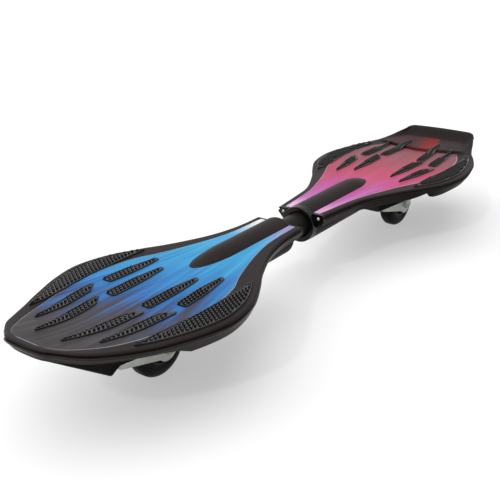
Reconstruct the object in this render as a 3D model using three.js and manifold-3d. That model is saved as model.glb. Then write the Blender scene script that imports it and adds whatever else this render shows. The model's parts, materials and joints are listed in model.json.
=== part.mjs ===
// A caster board: two moulded footboards joined by a torsion tube, each on one inclined swivel caster.
// Millimetres. X runs from the nose to the tail, Y across the board and Z up.
// The origin is on the ground under the middle of the board.

import * as THREE from "three";
import { mergeVertices } from "three/addons/utils/BufferGeometryUtils.js";
import Module from "manifold-3d";

const wasm = await Module();
wasm.setup();

// Overall sizes
const boardLength = 865;
const boardWidth = 229;
const frontLength = 399;
const neckGap = 47;

// Clearances and cutting overruns
const seatGap = 0.3;
const overrun = 20;

// Footboard moulding
const topPlate = 4.6;
const skirtWall = 4;
const skirtDepth = 25;
const skirtDraw = 13;
const fullDrawHalfWidth = 30;
const ribThickness = 2.4;
const ribDepth = 13;
const ribPitch = 52;
const longRibShares = [-0.45, 0.45];
const frontCavityShares = [0.03, 0.87];
const rearCavityShares = [0.15, 0.95];

// The rim's lip, groove and bead: shares of its width, drawn in from the outline, and of its height
const rimWidth = 7;
const rimHeight = 8.2;
const rimShares = [
  [1, 0], [0.34, 0.06], [0.14, 0.24], [0.34, 0.34], [0.34, 0.49], [0, 0.61], [0, 0.8], [0.2, 1],
];

// Nose and tail
const noseLift = 8;
const noseLiftShare = 0.17;
const tailRise = 16.5;
const tailRiseRun = 100;
const ledgeHeight = 5;
const ledgeApexFromTail = 95;
const ledgeSweepShare = 0.3;
const ledgeRun = 3;
const ledgeHalfWidth = 61;
const ledgeLength = 66;
const ledgeBackHalfWidth = 48;
const ledgeBackSlope = 8;

// Outlines as shares of a footboard's length, from its outer or neck end, and of half the board's width
const frontOutlineShares = [
  [0, 0.087], [0.018, 0.262], [0.063, 0.498], [0.126, 0.646], [0.227, 0.812], [0.327, 0.948], [0.418, 1],
  [0.516, 0.924], [0.605, 0.76], [0.68, 0.598], [0.793, 0.414], [0.9, 0.325], [1, 0.306],
];
const rearOutlineShares = [
  [0, 0.306], [0.11, 0.354], [0.205, 0.419], [0.325, 0.63], [0.408, 0.82], [0.48, 0.945], [0.592, 1],
  [0.718, 0.915], [0.79, 0.82], [0.838, 0.73], [0.885, 0.65], [0.933, 0.59], [0.981, 0.52], [1, 0.42],
];
const frontPanelShares = [
  [0.045, 0.12], [0.06, 0.245], [0.088, 0.367], [0.126, 0.472], [0.184, 0.55], [0.264, 0.598],
  [0.37, 0.638], [0.453, 0.629], [0.541, 0.581], [0.668, 0.406], [0.806, 0.262], [0.877, 0.236],
  [0.99, 0.227],
];
const rearPanelShares = [
  [0, 0.227], [0.158, 0.297], [0.258, 0.393], [0.36, 0.524], [0.489, 0.681], [0.556, 0.716],
  [0.63, 0.699], [0.735, 0.611], [0.83, 0.49], [0.85, 0.48],
];

// The skirt's lower edge: shares of the footboard's length and of the skirt's depth
const frontSkirtShares = [
  [-0.05, 0.42], [0.25, 0.46], [0.258, 0.5], [0.275, 1], [0.34, 0.93], [0.46, 0.8], [0.955, 0.74],
  [0.98, 0.66], [0.995, 0.5], [1.05, 0.48],
];
const rearSkirtShares = [
  [-0.05, 0.72], [0.213, 0.68], [0.37, 0.64], [0.395, 0.52], [0.42, 0.34], [0.432, 0.35], [0.458, 0.72],
  [0.495, 0.73], [0.54, 0.65], [0.64, 0.57], [1.05, 0.5],
];

// Colour panel
const panelThickness = 1;

// Grip pads
const padSink = 2;
const padStand = 2.4;
const padChamfer = 0.8;
const padWidth = 14;
const padSkew = 6;
const crescentInset = 8.5;
const crescentWidth = 27;
const tipWidth = 1.6;

// Each pad's pointed tip and wide end: shares of the footboard's length, from the nose or tail, and of
// half the board's width; and how much of the skew its wide end has
const frontPadShares = [
  { name: "nose_outer", tip: [0.135, 0.393], end: [0.341, 0.472], skew: 1 },
  { name: "nose_inner", tip: [0.08, 0.157], end: [0.296, 0.236], skew: 1 },
  { name: "neck_outer", tip: [0.574, 0.41], end: [0.388, 0.463], skew: 0 },
  { name: "neck_inner", tip: [0.534, 0.218], end: [0.333, 0.218], skew: 0 },
];
const rearPadShares = [
  { name: "neck_outer", tip: [0.594, 0.445], end: [0.415, 0.533], skew: 0.8 },
  { name: "neck_inner", tip: [0.558, 0.262], end: [0.365, 0.288], skew: 0.8 },
  { name: "tail_outer", tip: [0.2, 0.445], end: [0.384, 0.507], skew: 0 },
  { name: "tail_inner", tip: [0.158, 0.218], end: [0.348, 0.271], skew: 0 },
];
const padWidthShares = [
  [0.03, 0], [0.12, 0.3], [0.3, 0.68], [0.5, 0.94], [0.7, 1], [0.9, 0.96], [1, 0.74],
];
const frontCrescentShares = [0.175, 0.599];
const rearCrescentShares = [0.215, 0.611];
const crescentShares = [
  [0, 0.02], [0.08, 0.4], [0.2, 0.8], [0.35, 1], [0.5, 1], [0.65, 1], [0.8, 1], [0.92, 0.8], [1, 0.1],
];

// Torsion joint
const tubeRadius = 16;
const tubeWall = 2.5;
const tubeAxisDrop = 16.5;
const tubeInFront = 116;
const tubeInRear = 100;
const tunnelWall = 4.7;
const frontTunnelLength = 106;
const frontTunnelNose = 85;
const rearTunnelLength = 118;
const rearTunnelNose = 54;
const barWidth = 9;
const barTurnRadius = 6.8;
const anchorLength = 25;
const rearAnchorLength = 20;
const bushWall = 2.7;
const bushLength = 27;
const capThickness = 4;
const collarLength = 7;
const neckRound = 13;
const neckRoundDrop = 22;
const collarBevel = 1.5;
const wingScrewOffset = 3;
const wingScrewDrop = 5.5;
const wingScrewRadius = 2;
const wingScrewHeadRadius = 3.6;
const wingScrewHeadHeight = 2;
const wingScrewLength = 18;
const crossBoltRadius = 3;
const crossBoltHeadRadius = 5.5;
const crossBoltHeadHeight = 4;
const crossBoltSetback = 13;
const crossBoltStand = 5;

// Caster housings, on which the casters are bolted
const swivelTilt = Math.PI / 6;
const housingRise = 32.5;
const frontAxleFromNose = 169;
const rearAxleFromTail = 157;
const housingHalfWidth = 54;
const housingLipHalfWidth = 18;
const housingLipLength = 32;
const housingFrontReach = 60;
const housingRearReach = 120;
const housingTopDrop = 3;
const housingNoseHalfWidth = 22;
const housingLip = 42.6;

// Casters, along the swivel axis from the mounting face
const wheelRadius = 37;
const wheelWidth = 23;
const trail = 25;
const wheelToCrown = 4;
const plateThickness = 3;
const plateLength = 64;
const plateWidth = 60;
const plateCorner = 12;
const plateBoltInset = 9;
const plateBoltRadius = 3.2;
const ballRadius = 1.8;
const ballCount = 12;
const ballCircleRadius = 17;
const cageWidth = 4.9;
const cageThickness = 1.6;
const raceLipWall = 1.25;
const raceLipRoom = 1.7;
const crownThickness = 2.5;
const crownRadius = 24;
const cheekThickness = 3;
const cheekBossRadius = 6;
const cheekLobe = 15.5;
const cheekFront = 32;
const cheekRear = 24;
const cheekSkirt = 3;
const cheekRearDrop = 5;
const cheekArcFrom = Math.PI * 1.06;
const cheekArcTo = Math.PI * 2.05;
const kingpinRadius = 4.3;
const kingpinHeadRadius = 8;
const kingpinHeadHeight = 4.5;
const kingpinTop = 9;
const nutAcross = 13;
const nutHeight = 6.5;
const nutRecessRadius = 10.5;
const nutRecessDepth = 12;
const domeShare = 0.65;
const axleRadius = 4;
const axleHeadAcross = 13;
const axleHeadHeight = 5.3;
const axleNutHeight = 8;
const hubRadius = 22;
const hubInset = 1;
const hubWebHalf = 4;
const hubBossRadius = 13.5;
const hubRimWall = 2.5;
const spokeHoleRadius = 2.4;
const spokeHoleCount = 6;
const treadHalf = 3.5;
const tyreRound = 12;
const sidewallHollow = 1.2;
const bearingRadius = 11;
const bearingWidth = 7;
const bearingShieldRadii = [6, 9.2];
const bearingShieldDepth = 0.5;
const spacerWall = 1.8;

// Facet counts, and the distance below which corners are one
const mergeDistance = 1e-4;
const outlineSteps = 20;
const panelSteps = 16;
const tunnelFacets = 20;
const tubeFacets = 18;
const tyreFacets = 36;
const hubFacets = 18;
const smallFacets = 10;
const arcSteps = 6;
const tyreSteps = 3;

// Places that follow from the sizes
const axleHeight = wheelRadius * Math.cos(Math.PI / tyreFacets);
const raceTop = plateThickness + 2 * seatGap;
const crownTop = raceTop + 2 * ballRadius + seatGap;
const casterDepth = crownTop + crownThickness + wheelToCrown + wheelRadius;
const swivelHeight = axleHeight + casterDepth * Math.cos(swivelTilt) - trail * Math.sin(swivelTilt);
const deckHeight = swivelHeight + housingRise;
const halfWidth = boardWidth / 2;
const noseX = -boardLength / 2;
const tailX = boardLength / 2;
const frontNeckX = noseX + frontLength;
const rearNeckX = frontNeckX + neckGap;
const rearLength = tailX - rearNeckX;
const tubeZ = deckHeight - tubeAxisDrop;
const tubeFrontX = frontNeckX - tubeInFront;
const tubeRearX = rearNeckX + tubeInRear;
const rearBoreRadius = tubeRadius + 2 * seatGap + bushWall;
const tunnelRadius = rearBoreRadius + tunnelWall;
const crossBoltTop = tubeRadius + crossBoltStand;
const crossBoltFrontX = tubeFrontX + crossBoltSetback;
const rearAnchorX = tubeRearX + 2 * seatGap;
const crossBoltRearX = rearAnchorX + rearAnchorLength / 2;
const cheekInner = wheelWidth / 2 + crownThickness;
const bearingFace = cheekInner - crownThickness - seatGap;
const crescentInner = halfWidth - crescentInset - crescentWidth;

// Solids

function solidOf(geometry) {
  const bare = geometry.clone();
  bare.deleteAttribute("normal");
  bare.deleteAttribute("uv");
  const merged = mergeVertices(bare, mergeDistance);
  const mesh = { numProp: 3, vertProperties: merged.attributes.position.array };
  const triVerts = new Uint32Array(merged.index.array);
  const solid = new wasm.Manifold(new wasm.Mesh({ ...mesh, triVerts }));
  if (solid.volume() > 0) return solid;
  return new wasm.Manifold(new wasm.Mesh({ ...mesh, triVerts: triVerts.reverse() }));
}

function geometryOf(solid) {
  const { vertProperties, triVerts } = solid.getMesh();
  const geometry = new THREE.BufferGeometry();
  geometry.setAttribute("position", new THREE.BufferAttribute(vertProperties, 3));
  geometry.setIndex(new THREE.BufferAttribute(triVerts, 1));
  return geometry;
}

function join(first, ...others) {
  return others.reduce((sum, other) => sum.add(other), first);
}

function cut(first, ...others) {
  return others.reduce((rest, other) => rest.subtract(other), first);
}

function box(from, to) {
  const size = to.map((value, axis) => value - from[axis]);
  const middle = to.map((value, axis) => (value + from[axis]) / 2);
  return solidOf(new THREE.BoxGeometry(...size).translate(...middle));
}

// A rod along X, Y or Z between two places on that axis
function rod(axis, radius, from, to, centre, facets = smallFacets) {
  const geometry = new THREE.CylinderGeometry(radius, radius, to - from, facets);
  geometry.translate(0, (to + from) / 2, 0);
  if (axis === "x") geometry.rotateZ(-Math.PI / 2);
  if (axis === "z") geometry.rotateX(Math.PI / 2);
  return solidOf(geometry.translate(...centre));
}

// A turned solid about X, Y or Z from [radius, place on the axis] points
function turned(axis, profile, centre, facets, phase = 0) {
  const points = profile.map(([radius, place]) => new THREE.Vector2(radius, place));
  const geometry = new THREE.LatheGeometry(points, facets, phase);
  if (axis === "x") geometry.rotateZ(-Math.PI / 2);
  if (axis === "z") geometry.rotateX(Math.PI / 2);
  return solidOf(geometry.translate(...centre));
}

function ring(axis, inner, outer, from, to, centre, facets) {
  const profile = [[inner, from], [outer, from], [outer, to], [inner, to], [inner, from]];
  return turned(axis, profile, centre, facets);
}

function hexagon(axis, across, from, to, centre) {
  return rod(axis, across / Math.sqrt(3), from, to, centre, 6);
}

// A prism with an outline of [x, z] points, across the board
function crossPrism(points, halfDepth) {
  const shape = new THREE.Shape(points.map(([x, z]) => new THREE.Vector2(x, z)));
  const geometry = new THREE.ExtrudeGeometry(shape, { depth: 2 * halfDepth, bevelEnabled: false });
  return solidOf(geometry.translate(0, 0, -halfDepth).rotateX(Math.PI / 2));
}

// A prism with an outline of [x, y] points, standing between two heights
function standingPrism(points, from, to) {
  const shape = new THREE.Shape(points.map(([x, y]) => new THREE.Vector2(x, y)));
  const geometry = new THREE.ExtrudeGeometry(shape, { depth: to - from, bevelEnabled: false });
  return solidOf(geometry.translate(0, 0, from));
}

// A closed skin through rows of points; each row runs down one side and back up the other
function loft(rows) {
  const count = rows[0].length;
  const positions = rows.flat().flat();
  const index = [];
  const face = (a, b, c, d) => index.push(a, b, c, a, c, d);
  for (let row = 0; row < rows.length - 1; row += 1) {
    for (let k = 0; k < count; k += 1) {
      const a = row * count + k;
      const b = row * count + ((k + 1) % count);
      face(a, b, b + count, a + count);
    }
  }
  const last = (rows.length - 1) * count;
  for (let k = 0; k < count / 2 - 1; k += 1) {
    const mirror = count - 1 - k;
    face(mirror, mirror - 1, k + 1, k);
    face(last + k, last + k + 1, last + mirror - 1, last + mirror);
  }
  const geometry = new THREE.BufferGeometry();
  geometry.setAttribute("position", new THREE.Float32BufferAttribute(positions, 3));
  geometry.setIndex(index);
  return solidOf(geometry);
}

// Plan outlines and top surfaces

function smooth(value) {
  const t = Math.min(1, Math.max(0, value));
  return t * t * (3 - 2 * t);
}

function outlinePoints(shares, steps, startX, length) {
  const spline = new THREE.SplineCurve(shares.map(([along, across]) => new THREE.Vector2(along, across)));
  return spline.getPoints(steps).map((p) => ({ x: startX + p.x * length, w: p.y * halfWidth }));
}

function widthAt(points, x) {
  const next = points.findIndex((p) => p.x >= x);
  if (next <= 0) return points[next === 0 ? 0 : points.length - 1].w;
  const [a, b] = [points[next - 1], points[next]];
  return a.w + ((b.w - a.w) * (x - a.x)) / (b.x - a.x);
}

const frontOutline = outlinePoints(frontOutlineShares, outlineSteps, noseX, frontLength);
const rearOutline = outlinePoints(rearOutlineShares, outlineSteps, rearNeckX, rearLength);

function frontTop(x) {
  const start = noseX + noseLiftShare * frontLength;
  const t = Math.max(0, (start - x) / (start - noseX));
  return deckHeight + noseLift * t * t;
}

function rearRim(x) {
  return deckHeight + tailRise * smooth((x - tailX + tailRiseRun) / tailRiseRun);
}

function ledgeEdge(y) {
  return tailX - ledgeApexFromTail + ledgeSweepShare * Math.abs(y);
}

function rearTop(x, y) {
  return deckHeight + ledgeHeight * smooth((x - ledgeEdge(y)) / ledgeRun);
}

// A closed skin on an outline, drawn in towards a fixed place along it, at each level's height
function deckSkin(points, fixedX, reach, levels, top) {
  const rows = points.map(({ x, w }) => {
    const side = (sign) => levels.map(({ draw, drop }) => {
      const levelX = fixedX + (x - fixedX) * (1 - draw / reach);
      const levelY = sign * (w - draw * Math.min(1, w / fullDrawHalfWidth));
      return [levelX, levelY, top(levelX, levelY) - drop];
    });
    return [...side(1), ...side(-1).reverse()];
  });
  return loft(rows);
}

// Footboards

function outerSkin(points, neckX, length, top) {
  const rim = rimShares.map(([draw, drop]) => ({ draw: draw * rimWidth, drop: drop * rimHeight }));
  const levels = [...rim, { draw: skirtDraw, drop: skirtDepth }];
  return deckSkin(points, neckX, length, levels, top);
}

// What lies below the skirt's lower edge
function skirtCut(shares, startX, length, top) {
  const points = shares.map(([along, depth]) => {
    const x = startX + along * length;
    return [x, top(x) - depth * skirtDepth];
  });
  const low = deckHeight - skirtDepth - overrun;
  return crossPrism([...points, [points.at(-1)[0], low], [points[0][0], low]], boardWidth);
}

function cavity(points, neckX, length, top) {
  const slope = skirtDraw / (skirtDepth - topPlate);
  const levels = [
    { draw: rimWidth + skirtWall, drop: topPlate },
    { draw: skirtDraw + skirtWall, drop: skirtDepth },
    { draw: skirtDraw + skirtWall + slope * overrun, drop: skirtDepth + overrun },
  ];
  return deckSkin(points, neckX, length, levels, top);
}

function cavitySpan(points, startX, length, shares) {
  const [from, to] = shares.map((share) => startX + share * length);
  const inside = points.filter((p) => p.x > from && p.x < to);
  return [{ x: from, w: widthAt(points, from) }, ...inside, { x: to, w: widthAt(points, to) }];
}

// Cross ribs at a pitch, and long ribs wherever they stand clear of the skirt's inside
function ribs(points, fromX, toX) {
  const low = deckHeight - ribDepth;
  const high = deckHeight - topPlate / 2;
  const half = ribThickness / 2;
  const parts = [];
  for (let x = fromX; x <= toX; x += ribPitch) {
    parts.push(box([x - half, -halfWidth, low], [x + half, halfWidth, high]));
  }
  for (const share of longRibShares) {
    const y = share * halfWidth;
    const clear = points.filter((p) => p.w > Math.abs(y) + half + skirtWall + skirtDraw);
    parts.push(box([clear[0].x, y - half, low], [clear.at(-1).x, y + half, high]));
  }
  return join(...parts);
}

function tunnel(fromX, toX, noseLength, grow) {
  const radius = tunnelRadius + grow;
  const direction = Math.sign(toX - fromX);
  const profile = [[0, fromX], [radius, fromX]];
  for (let step = 0; step <= arcSteps; step += 1) {
    const angle = (step / arcSteps) * (Math.PI / 2);
    const along = toX + direction * (noseLength + grow) * Math.sin(angle);
    profile.push([step === arcSteps ? 0 : radius * Math.cos(angle), along]);
  }
  return turned("x", profile, [0, 0, tubeZ], tunnelFacets);
}

// The mounting face is a plane through this place on the swivel axis
function swivelPlace(axleX) {
  const down = new THREE.Vector3(Math.sin(swivelTilt), 0, -Math.cos(swivelTilt));
  const back = new THREE.Vector3(Math.cos(swivelTilt), 0, Math.sin(swivelTilt));
  const axle = new THREE.Vector3(axleX, 0, axleHeight);
  return axle.addScaledVector(down, -casterDepth).addScaledVector(back, -trail);
}

// A wedge with a steep front and a mounting face square to the swivel axis
function housing(axleX, frontReach) {
  const place = swivelPlace(axleX);
  const top = deckHeight - housingTopDrop;
  const lipX = place.x - housingLip * Math.cos(swivelTilt);
  const lipZ = place.z - housingLip * Math.sin(swivelTilt);
  const backX = lipX + (top - lipZ) / Math.tan(swivelTilt);
  const profile = crossPrism([[lipX - frontReach, top], [lipX, lipZ], [backX, top]], housingHalfWidth);
  const side = (sign) => [
    [lipX - frontReach, sign * housingNoseHalfWidth],
    [lipX, sign * housingLipHalfWidth],
    [lipX + housingLipLength, sign * housingHalfWidth],
    [backX + overrun, sign * housingHalfWidth],
  ];
  const plan = standingPrism([...side(1), ...side(-1).reverse()], 0, deckHeight + overrun);
  return profile.intersect(plan);
}

function nutRecess(axleX) {
  const length = 2 * nutRecessDepth;
  const geometry = new THREE.CylinderGeometry(nutRecessRadius, nutRecessRadius, length, smallFacets);
  geometry.rotateX(Math.PI / 2).rotateY(-swivelTilt);
  return solidOf(geometry.translate(...swivelPlace(axleX)));
}

// Colour panels

function panelSkin(shares, startX, length, top, grow) {
  const points = outlinePoints(shares, panelSteps, startX, length);
  const [from, to] = [points[0].x, points.at(-1).x];
  const levels = [{ draw: -grow, drop: -grow * overrun }, { draw: -grow, drop: panelThickness + grow }];
  return deckSkin(points, (from + to) / 2, (to - from) / 2, levels, top);
}

// Grip pads

function padRows(stations, top, grow) {
  return stations.map(({ low, high, x, skew = 0 }) => {
    const corner = (y, lift) => {
      const placeX = x + (skew * (2 * y - low - high)) / (high - low);
      return [placeX, y, top(placeX, y) + lift];
    };
    const under = -padSink - grow;
    const over = padStand + grow * overrun;
    const chamfer = grow > 0 ? 0 : padChamfer;
    const edge = over - chamfer;
    const [a, b] = [high + grow, low - grow];
    const inset = Math.min(chamfer, (a - b) / 4);
    const [innerA, innerB] = [a - inset, b + inset];
    return [corner(innerA, over), corner(a, edge), corner(a, under), corner(b, under), corner(b, edge),
      corner(innerB, over)];
  });
}

// A leaf-shaped pad on the side of the sign; the length is negative where shares run from the tail
function leafPad(pad, outerX, length, top, sign, grow) {
  const [tipX, endX] = [pad.tip, pad.end].map(([along]) => outerX + along * length);
  const run = endX - tipX;
  const [tipY, rise] = [pad.tip[1] * halfWidth, (pad.end[1] - pad.tip[1]) * halfWidth];
  const stations = padWidthShares.map(([along, across], place) => {
    const ends = { 0: -grow, [padWidthShares.length - 1]: grow };
    const x = tipX + along * run + (ends[place] ?? 0) * Math.sign(run);
    const middle = sign * (tipY + along * rise);
    const half = Math.max(tipWidth, across * padWidth) / 2;
    const skew = sign * Math.sign(run) * pad.skew * padSkew * smooth(along);
    return { x, low: middle - half, high: middle + half, skew };
  });
  return loft(padRows(stations, top, grow));
}

// A crescent pad between a straight inner line and the footboard's outline
function crescentPad(points, outerX, length, spanShares, top, sign, grow) {
  const [from, to] = spanShares;
  const stations = crescentShares.map(([along, across], place) => {
    const ends = { 0: -grow, [crescentShares.length - 1]: grow };
    const x = outerX + length * (from + along * (to - from)) + (ends[place] ?? 0) * Math.sign(length);
    const full = widthAt(points, x) - crescentInset - crescentInner;
    const edges = [sign * crescentInner, sign * (crescentInner + Math.max(tipWidth, across * full))];
    return { x, low: Math.min(...edges), high: Math.max(...edges) };
  });
  return loft(padRows(stations, top, grow));
}

function padSolids(prefix, pads, crescent, points, outerX, length, top, grow) {
  const solids = new Map();
  for (const [sideName, sign] of [["left", 1], ["right", -1]]) {
    const name = (word) => `${prefix}_pad_${word}_${sideName}`;
    solids.set(name("crescent"), crescentPad(points, outerX, length, crescent, top, sign, grow));
    for (const pad of pads) solids.set(name(pad.name), leafPad(pad, outerX, length, top, sign, grow));
  }
  return solids;
}

const frontPadSolids = (grow) =>
  padSolids("front", frontPadShares, frontCrescentShares, frontOutline, noseX, frontLength, frontTop, grow);
const rearPadSolids = (grow) =>
  padSolids("rear", rearPadShares, rearCrescentShares, rearOutline, tailX, -rearLength, rearTop, grow);

// Front footboard

const frontAxleX = noseX + frontAxleFromNose;
const rearAxleX = tailX - rearAxleFromTail;
const frontTunnelX = frontNeckX - frontTunnelLength;
const rearTunnelX = rearNeckX + rearTunnelLength;

function neckRounding() {
  const floor = deckHeight - tubeAxisDrop - tunnelRadius;
  const beyond = frontNeckX + overrun;
  const points = [[beyond, floor - overrun], [beyond, deckHeight - neckRoundDrop]];
  for (let step = 0; step <= arcSteps; step += 1) {
    const angle = (step / arcSteps) * (Math.PI / 2);
    const drop = (deckHeight - neckRoundDrop - floor) * Math.sin(angle);
    points.push([frontNeckX - neckRound * (1 - Math.cos(angle)), deckHeight - neckRoundDrop - drop]);
  }
  return crossPrism([...points, [frontNeckX - neckRound, floor - overrun]], boardWidth);
}

function frontDeck() {
  const whole = outerSkin(frontOutline, frontNeckX, frontLength, frontTop);
  const outer = cut(whole, skirtCut(frontSkirtShares, noseX, frontLength, frontTop));
  const span = cavitySpan(frontOutline, noseX, frontLength, frontCavityShares);
  const hollow = cavity(span, frontNeckX, frontLength, frontTop);
  const ribbing = ribs(frontOutline, noseX + ribPitch, frontNeckX - ribPitch).intersect(outer);
  const panelSeat = panelSkin(frontPanelShares, noseX, frontLength, frontTop, seatGap);
  const shell = join(cut(outer, hollow), ribbing, housing(frontAxleX, housingFrontReach));
  const body = join(cut(shell, panelSeat), tunnel(frontNeckX, frontTunnelX, frontTunnelNose, 0));
  const bore = rod("x", tubeRadius + seatGap, tubeFrontX - seatGap, frontNeckX + overrun, [0, 0, tubeZ],
    tubeFacets);
  return cut(body, bore, neckRounding(), nutRecess(frontAxleX), crossBoltHole(crossBoltFrontX, crossBoltTop),
    ...frontPadSolids(seatGap).values());
}

// Rear footboard

function ledgeOutline(grow, back) {
  const apex = ledgeEdge(0) - grow;
  const wide = ledgeHalfWidth + grow;
  const backX = ledgeEdge(0) + ledgeLength + back;
  const side = (sign) => [
    [apex, 0],
    [ledgeEdge(wide) - grow, sign * wide],
    [ledgeEdge(wide) + ledgeLength / 3, sign * wide],
    [backX, sign * (ledgeBackHalfWidth + grow)],
  ];
  return [side(1), side(-1)];
}

function ledgeRow(grow, back, z) {
  const [right, left] = ledgeOutline(grow, back);
  const centre = tipWidth / 2;
  right[0] = [right[0][0], centre];
  left[0] = [left[0][0], -centre];
  return [...right, ...left.reverse()].map(([x, y]) => [x, y, z]);
}

function ledgeBlock(grow) {
  const low = deckHeight - topPlate / 2;
  return loft([ledgeRow(grow, grow, low), ledgeRow(grow, grow, deckHeight + ledgeHeight + grow)]);
}

function ledgePocket() {
  const floor = deckHeight + ledgeHeight;
  return loft([ledgeRow(0, 0, floor), ledgeRow(ledgeBackSlope, ledgeBackSlope, floor + tailRise)]);
}

function rearBlank() {
  const whole = outerSkin(rearOutline, rearNeckX, rearLength, rearRim);
  return cut(whole, skirtCut(rearSkirtShares, rearNeckX, rearLength, rearRim));
}

function capSlab(from, to) {
  return box([from, -boardWidth, 0], [to, boardWidth, 2 * deckHeight]);
}

function rearDeck() {
  const outer = rearBlank();
  const span = cavitySpan(rearOutline, rearNeckX, rearLength, rearCavityShares);
  const hollow = cavity(span, rearNeckX, rearLength, rearRim);
  const ribbing = ribs(rearOutline, rearTunnelX, tailX - ribPitch).intersect(outer);
  const panelSeat = panelSkin(rearPanelShares, rearNeckX, rearLength, () => deckHeight, seatGap);
  const shell = join(cut(outer, hollow), ribbing, housing(rearAxleX, housingRearReach));
  const topped = join(cut(shell, cut(panelSeat, ledgeBlock(0)), ledgePocket()), ledgeBlock(0));
  const body = join(topped, tunnel(rearNeckX, rearTunnelX, rearTunnelNose, 0));
  const boreEnd = rearAnchorX + rearAnchorLength + seatGap;
  const bore = rod("x", rearBoreRadius, rearNeckX - overrun, boreEnd, [0, 0, tubeZ], tubeFacets);
  const trimmed = cut(body, capSlab(rearNeckX - overrun, rearNeckX + capThickness + seatGap), bore);
  return cut(trimmed, nutRecess(rearAxleX), crossBoltHole(crossBoltRearX, -barTurnRadius),
    ...wingScrewHoles(), ...rearPadSolids(seatGap).values());
}

// Torsion joint

function torsionTube() {
  const tube = ring("x", tubeRadius - tubeWall, tubeRadius, tubeFrontX, tubeRearX, [0, 0, tubeZ], tubeFacets);
  return cut(tube, crossBoltHole(crossBoltFrontX, crossBoltTop));
}

function torsionBar() {
  const half = barWidth / 2;
  const from = tubeFrontX + seatGap;
  const to = rearAnchorX + rearAnchorLength - seatGap;
  const bar = box([from, -half, tubeZ - half], [to, half, tubeZ + half]);
  return cut(bar, crossBoltHole(crossBoltFrontX, crossBoltTop));
}

function frontAnchor() {
  const radius = tubeRadius - tubeWall - seatGap;
  const plug = rod("x", radius, tubeFrontX, tubeFrontX + anchorLength, [0, 0, tubeZ], tubeFacets);
  const half = barWidth / 2 + seatGap;
  const [from, to] = [tubeFrontX - overrun, tubeFrontX + anchorLength + overrun];
  const socket = box([from, -half, tubeZ - half], [to, half, tubeZ + half]);
  return cut(plug, socket, crossBoltHole(crossBoltFrontX, crossBoltTop));
}

function rearAnchor() {
  const outer = rearBoreRadius - seatGap;
  const block = ring("x", barTurnRadius, outer, rearAnchorX, rearAnchorX + rearAnchorLength, [0, 0, tubeZ],
    tubeFacets);
  return cut(block, crossBoltHole(crossBoltRearX, -barTurnRadius));
}

function bush(fromX) {
  const inner = tubeRadius + seatGap;
  return ring("x", inner, inner + bushWall, fromX, fromX + bushLength, [0, 0, tubeZ], tubeFacets);
}

function crossBoltHole(x, top) {
  const bottom = -tunnelRadius - overrun;
  const shank = rod("z", crossBoltRadius + seatGap, bottom, top + seatGap, [x, 0, tubeZ], smallFacets);
  const seatTop = crossBoltHeadHeight - tunnelRadius;
  const seat = rod("z", crossBoltHeadRadius + seatGap, bottom, seatTop, [x, 0, tubeZ], smallFacets);
  return join(shank, seat);
}

function crossBolt(x, top) {
  const seat = -tunnelRadius + crossBoltHeadHeight - seatGap;
  const shank = rod("z", crossBoltRadius, seat - crossBoltHeadHeight / 2, top, [x, 0, tubeZ], smallFacets);
  const head = rod("z", crossBoltHeadRadius, seat - crossBoltHeadHeight, seat, [x, 0, tubeZ], smallFacets);
  const key = hexagon("z", crossBoltRadius * 2, seat - crossBoltHeadHeight - overrun,
    seat - crossBoltHeadHeight / 2, [x, 0, tubeZ]);
  return cut(join(shank, head), key);
}

function neckCap() {
  const body = join(rearBlank(), tunnel(rearNeckX, rearTunnelX, rearTunnelNose, 0));
  const plate = body.intersect(capSlab(rearNeckX, rearNeckX + capThickness));
  const inner = tubeRadius + seatGap;
  const [from, to] = [rearNeckX - collarLength, rearNeckX + capThickness / 2];
  const collar = turned("x", [
    [inner, from], [tunnelRadius - collarBevel, from], [tunnelRadius, from + collarBevel], [tunnelRadius, to],
    [inner, to], [inner, from],
  ], [0, 0, tubeZ], tunnelFacets);
  const bore = rod("x", inner, rearNeckX - overrun, rearNeckX + overrun, [0, 0, tubeZ], tubeFacets);
  return cut(join(plate, collar), bore, ...wingScrewHoles());
}

function wingScrewCentre(sign) {
  return [0, sign * (tunnelRadius + wingScrewOffset), deckHeight - wingScrewDrop];
}

function wingScrewHoles() {
  const radius = wingScrewRadius + seatGap;
  const [from, to] = [rearNeckX - overrun, rearNeckX + wingScrewLength + seatGap];
  return [1, -1].map((sign) => rod("x", radius, from, to, wingScrewCentre(sign), arcSteps));
}

function wingScrew(sign) {
  const face = rearNeckX - seatGap;
  const shank = rod("x", wingScrewRadius, face - seatGap, rearNeckX + wingScrewLength, wingScrewCentre(sign),
    arcSteps);
  const head = turned("x", [
    [0, face - wingScrewHeadHeight], [wingScrewHeadRadius * domeShare, face - wingScrewHeadHeight],
    [wingScrewHeadRadius, face - wingScrewHeadHeight / 2], [wingScrewHeadRadius, face], [0, face],
  ], wingScrewCentre(sign), smallFacets);
  return join(shank, head);
}

// Casters, each built about its swivel place with Z along the swivel axis

function swivelPlate() {
  const [x, y] = [plateLength / 2, plateWidth / 2];
  const outline = [
    [x, y - plateCorner], [x - plateCorner, y], [plateCorner - x, y], [-x, y - plateCorner],
    [-x, plateCorner - y], [plateCorner - x, -y], [x - plateCorner, -y], [x, plateCorner - y],
  ];
  const top = -seatGap;
  const plate = standingPrism(outline, top - plateThickness, top);
  const lipRadius = ballCircleRadius + ballRadius + raceLipRoom;
  const lip = ring("z", lipRadius, lipRadius + raceLipWall, -crownTop + ballRadius, top - plateThickness / 2,
    [0, 0, 0], hubFacets);
  const [boltX, boltY] = [x - plateBoltInset, y - plateBoltInset];
  const holes = [1, -1].flatMap((a) => [1, -1].map((b) =>
    rod("z", plateBoltRadius, -overrun, overrun, [a * boltX, b * boltY, 0], smallFacets)));
  const pin = rod("z", kingpinRadius + seatGap, -overrun, overrun, [0, 0, 0], smallFacets);
  return cut(join(plate, lip), pin, ...holes);
}

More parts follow.
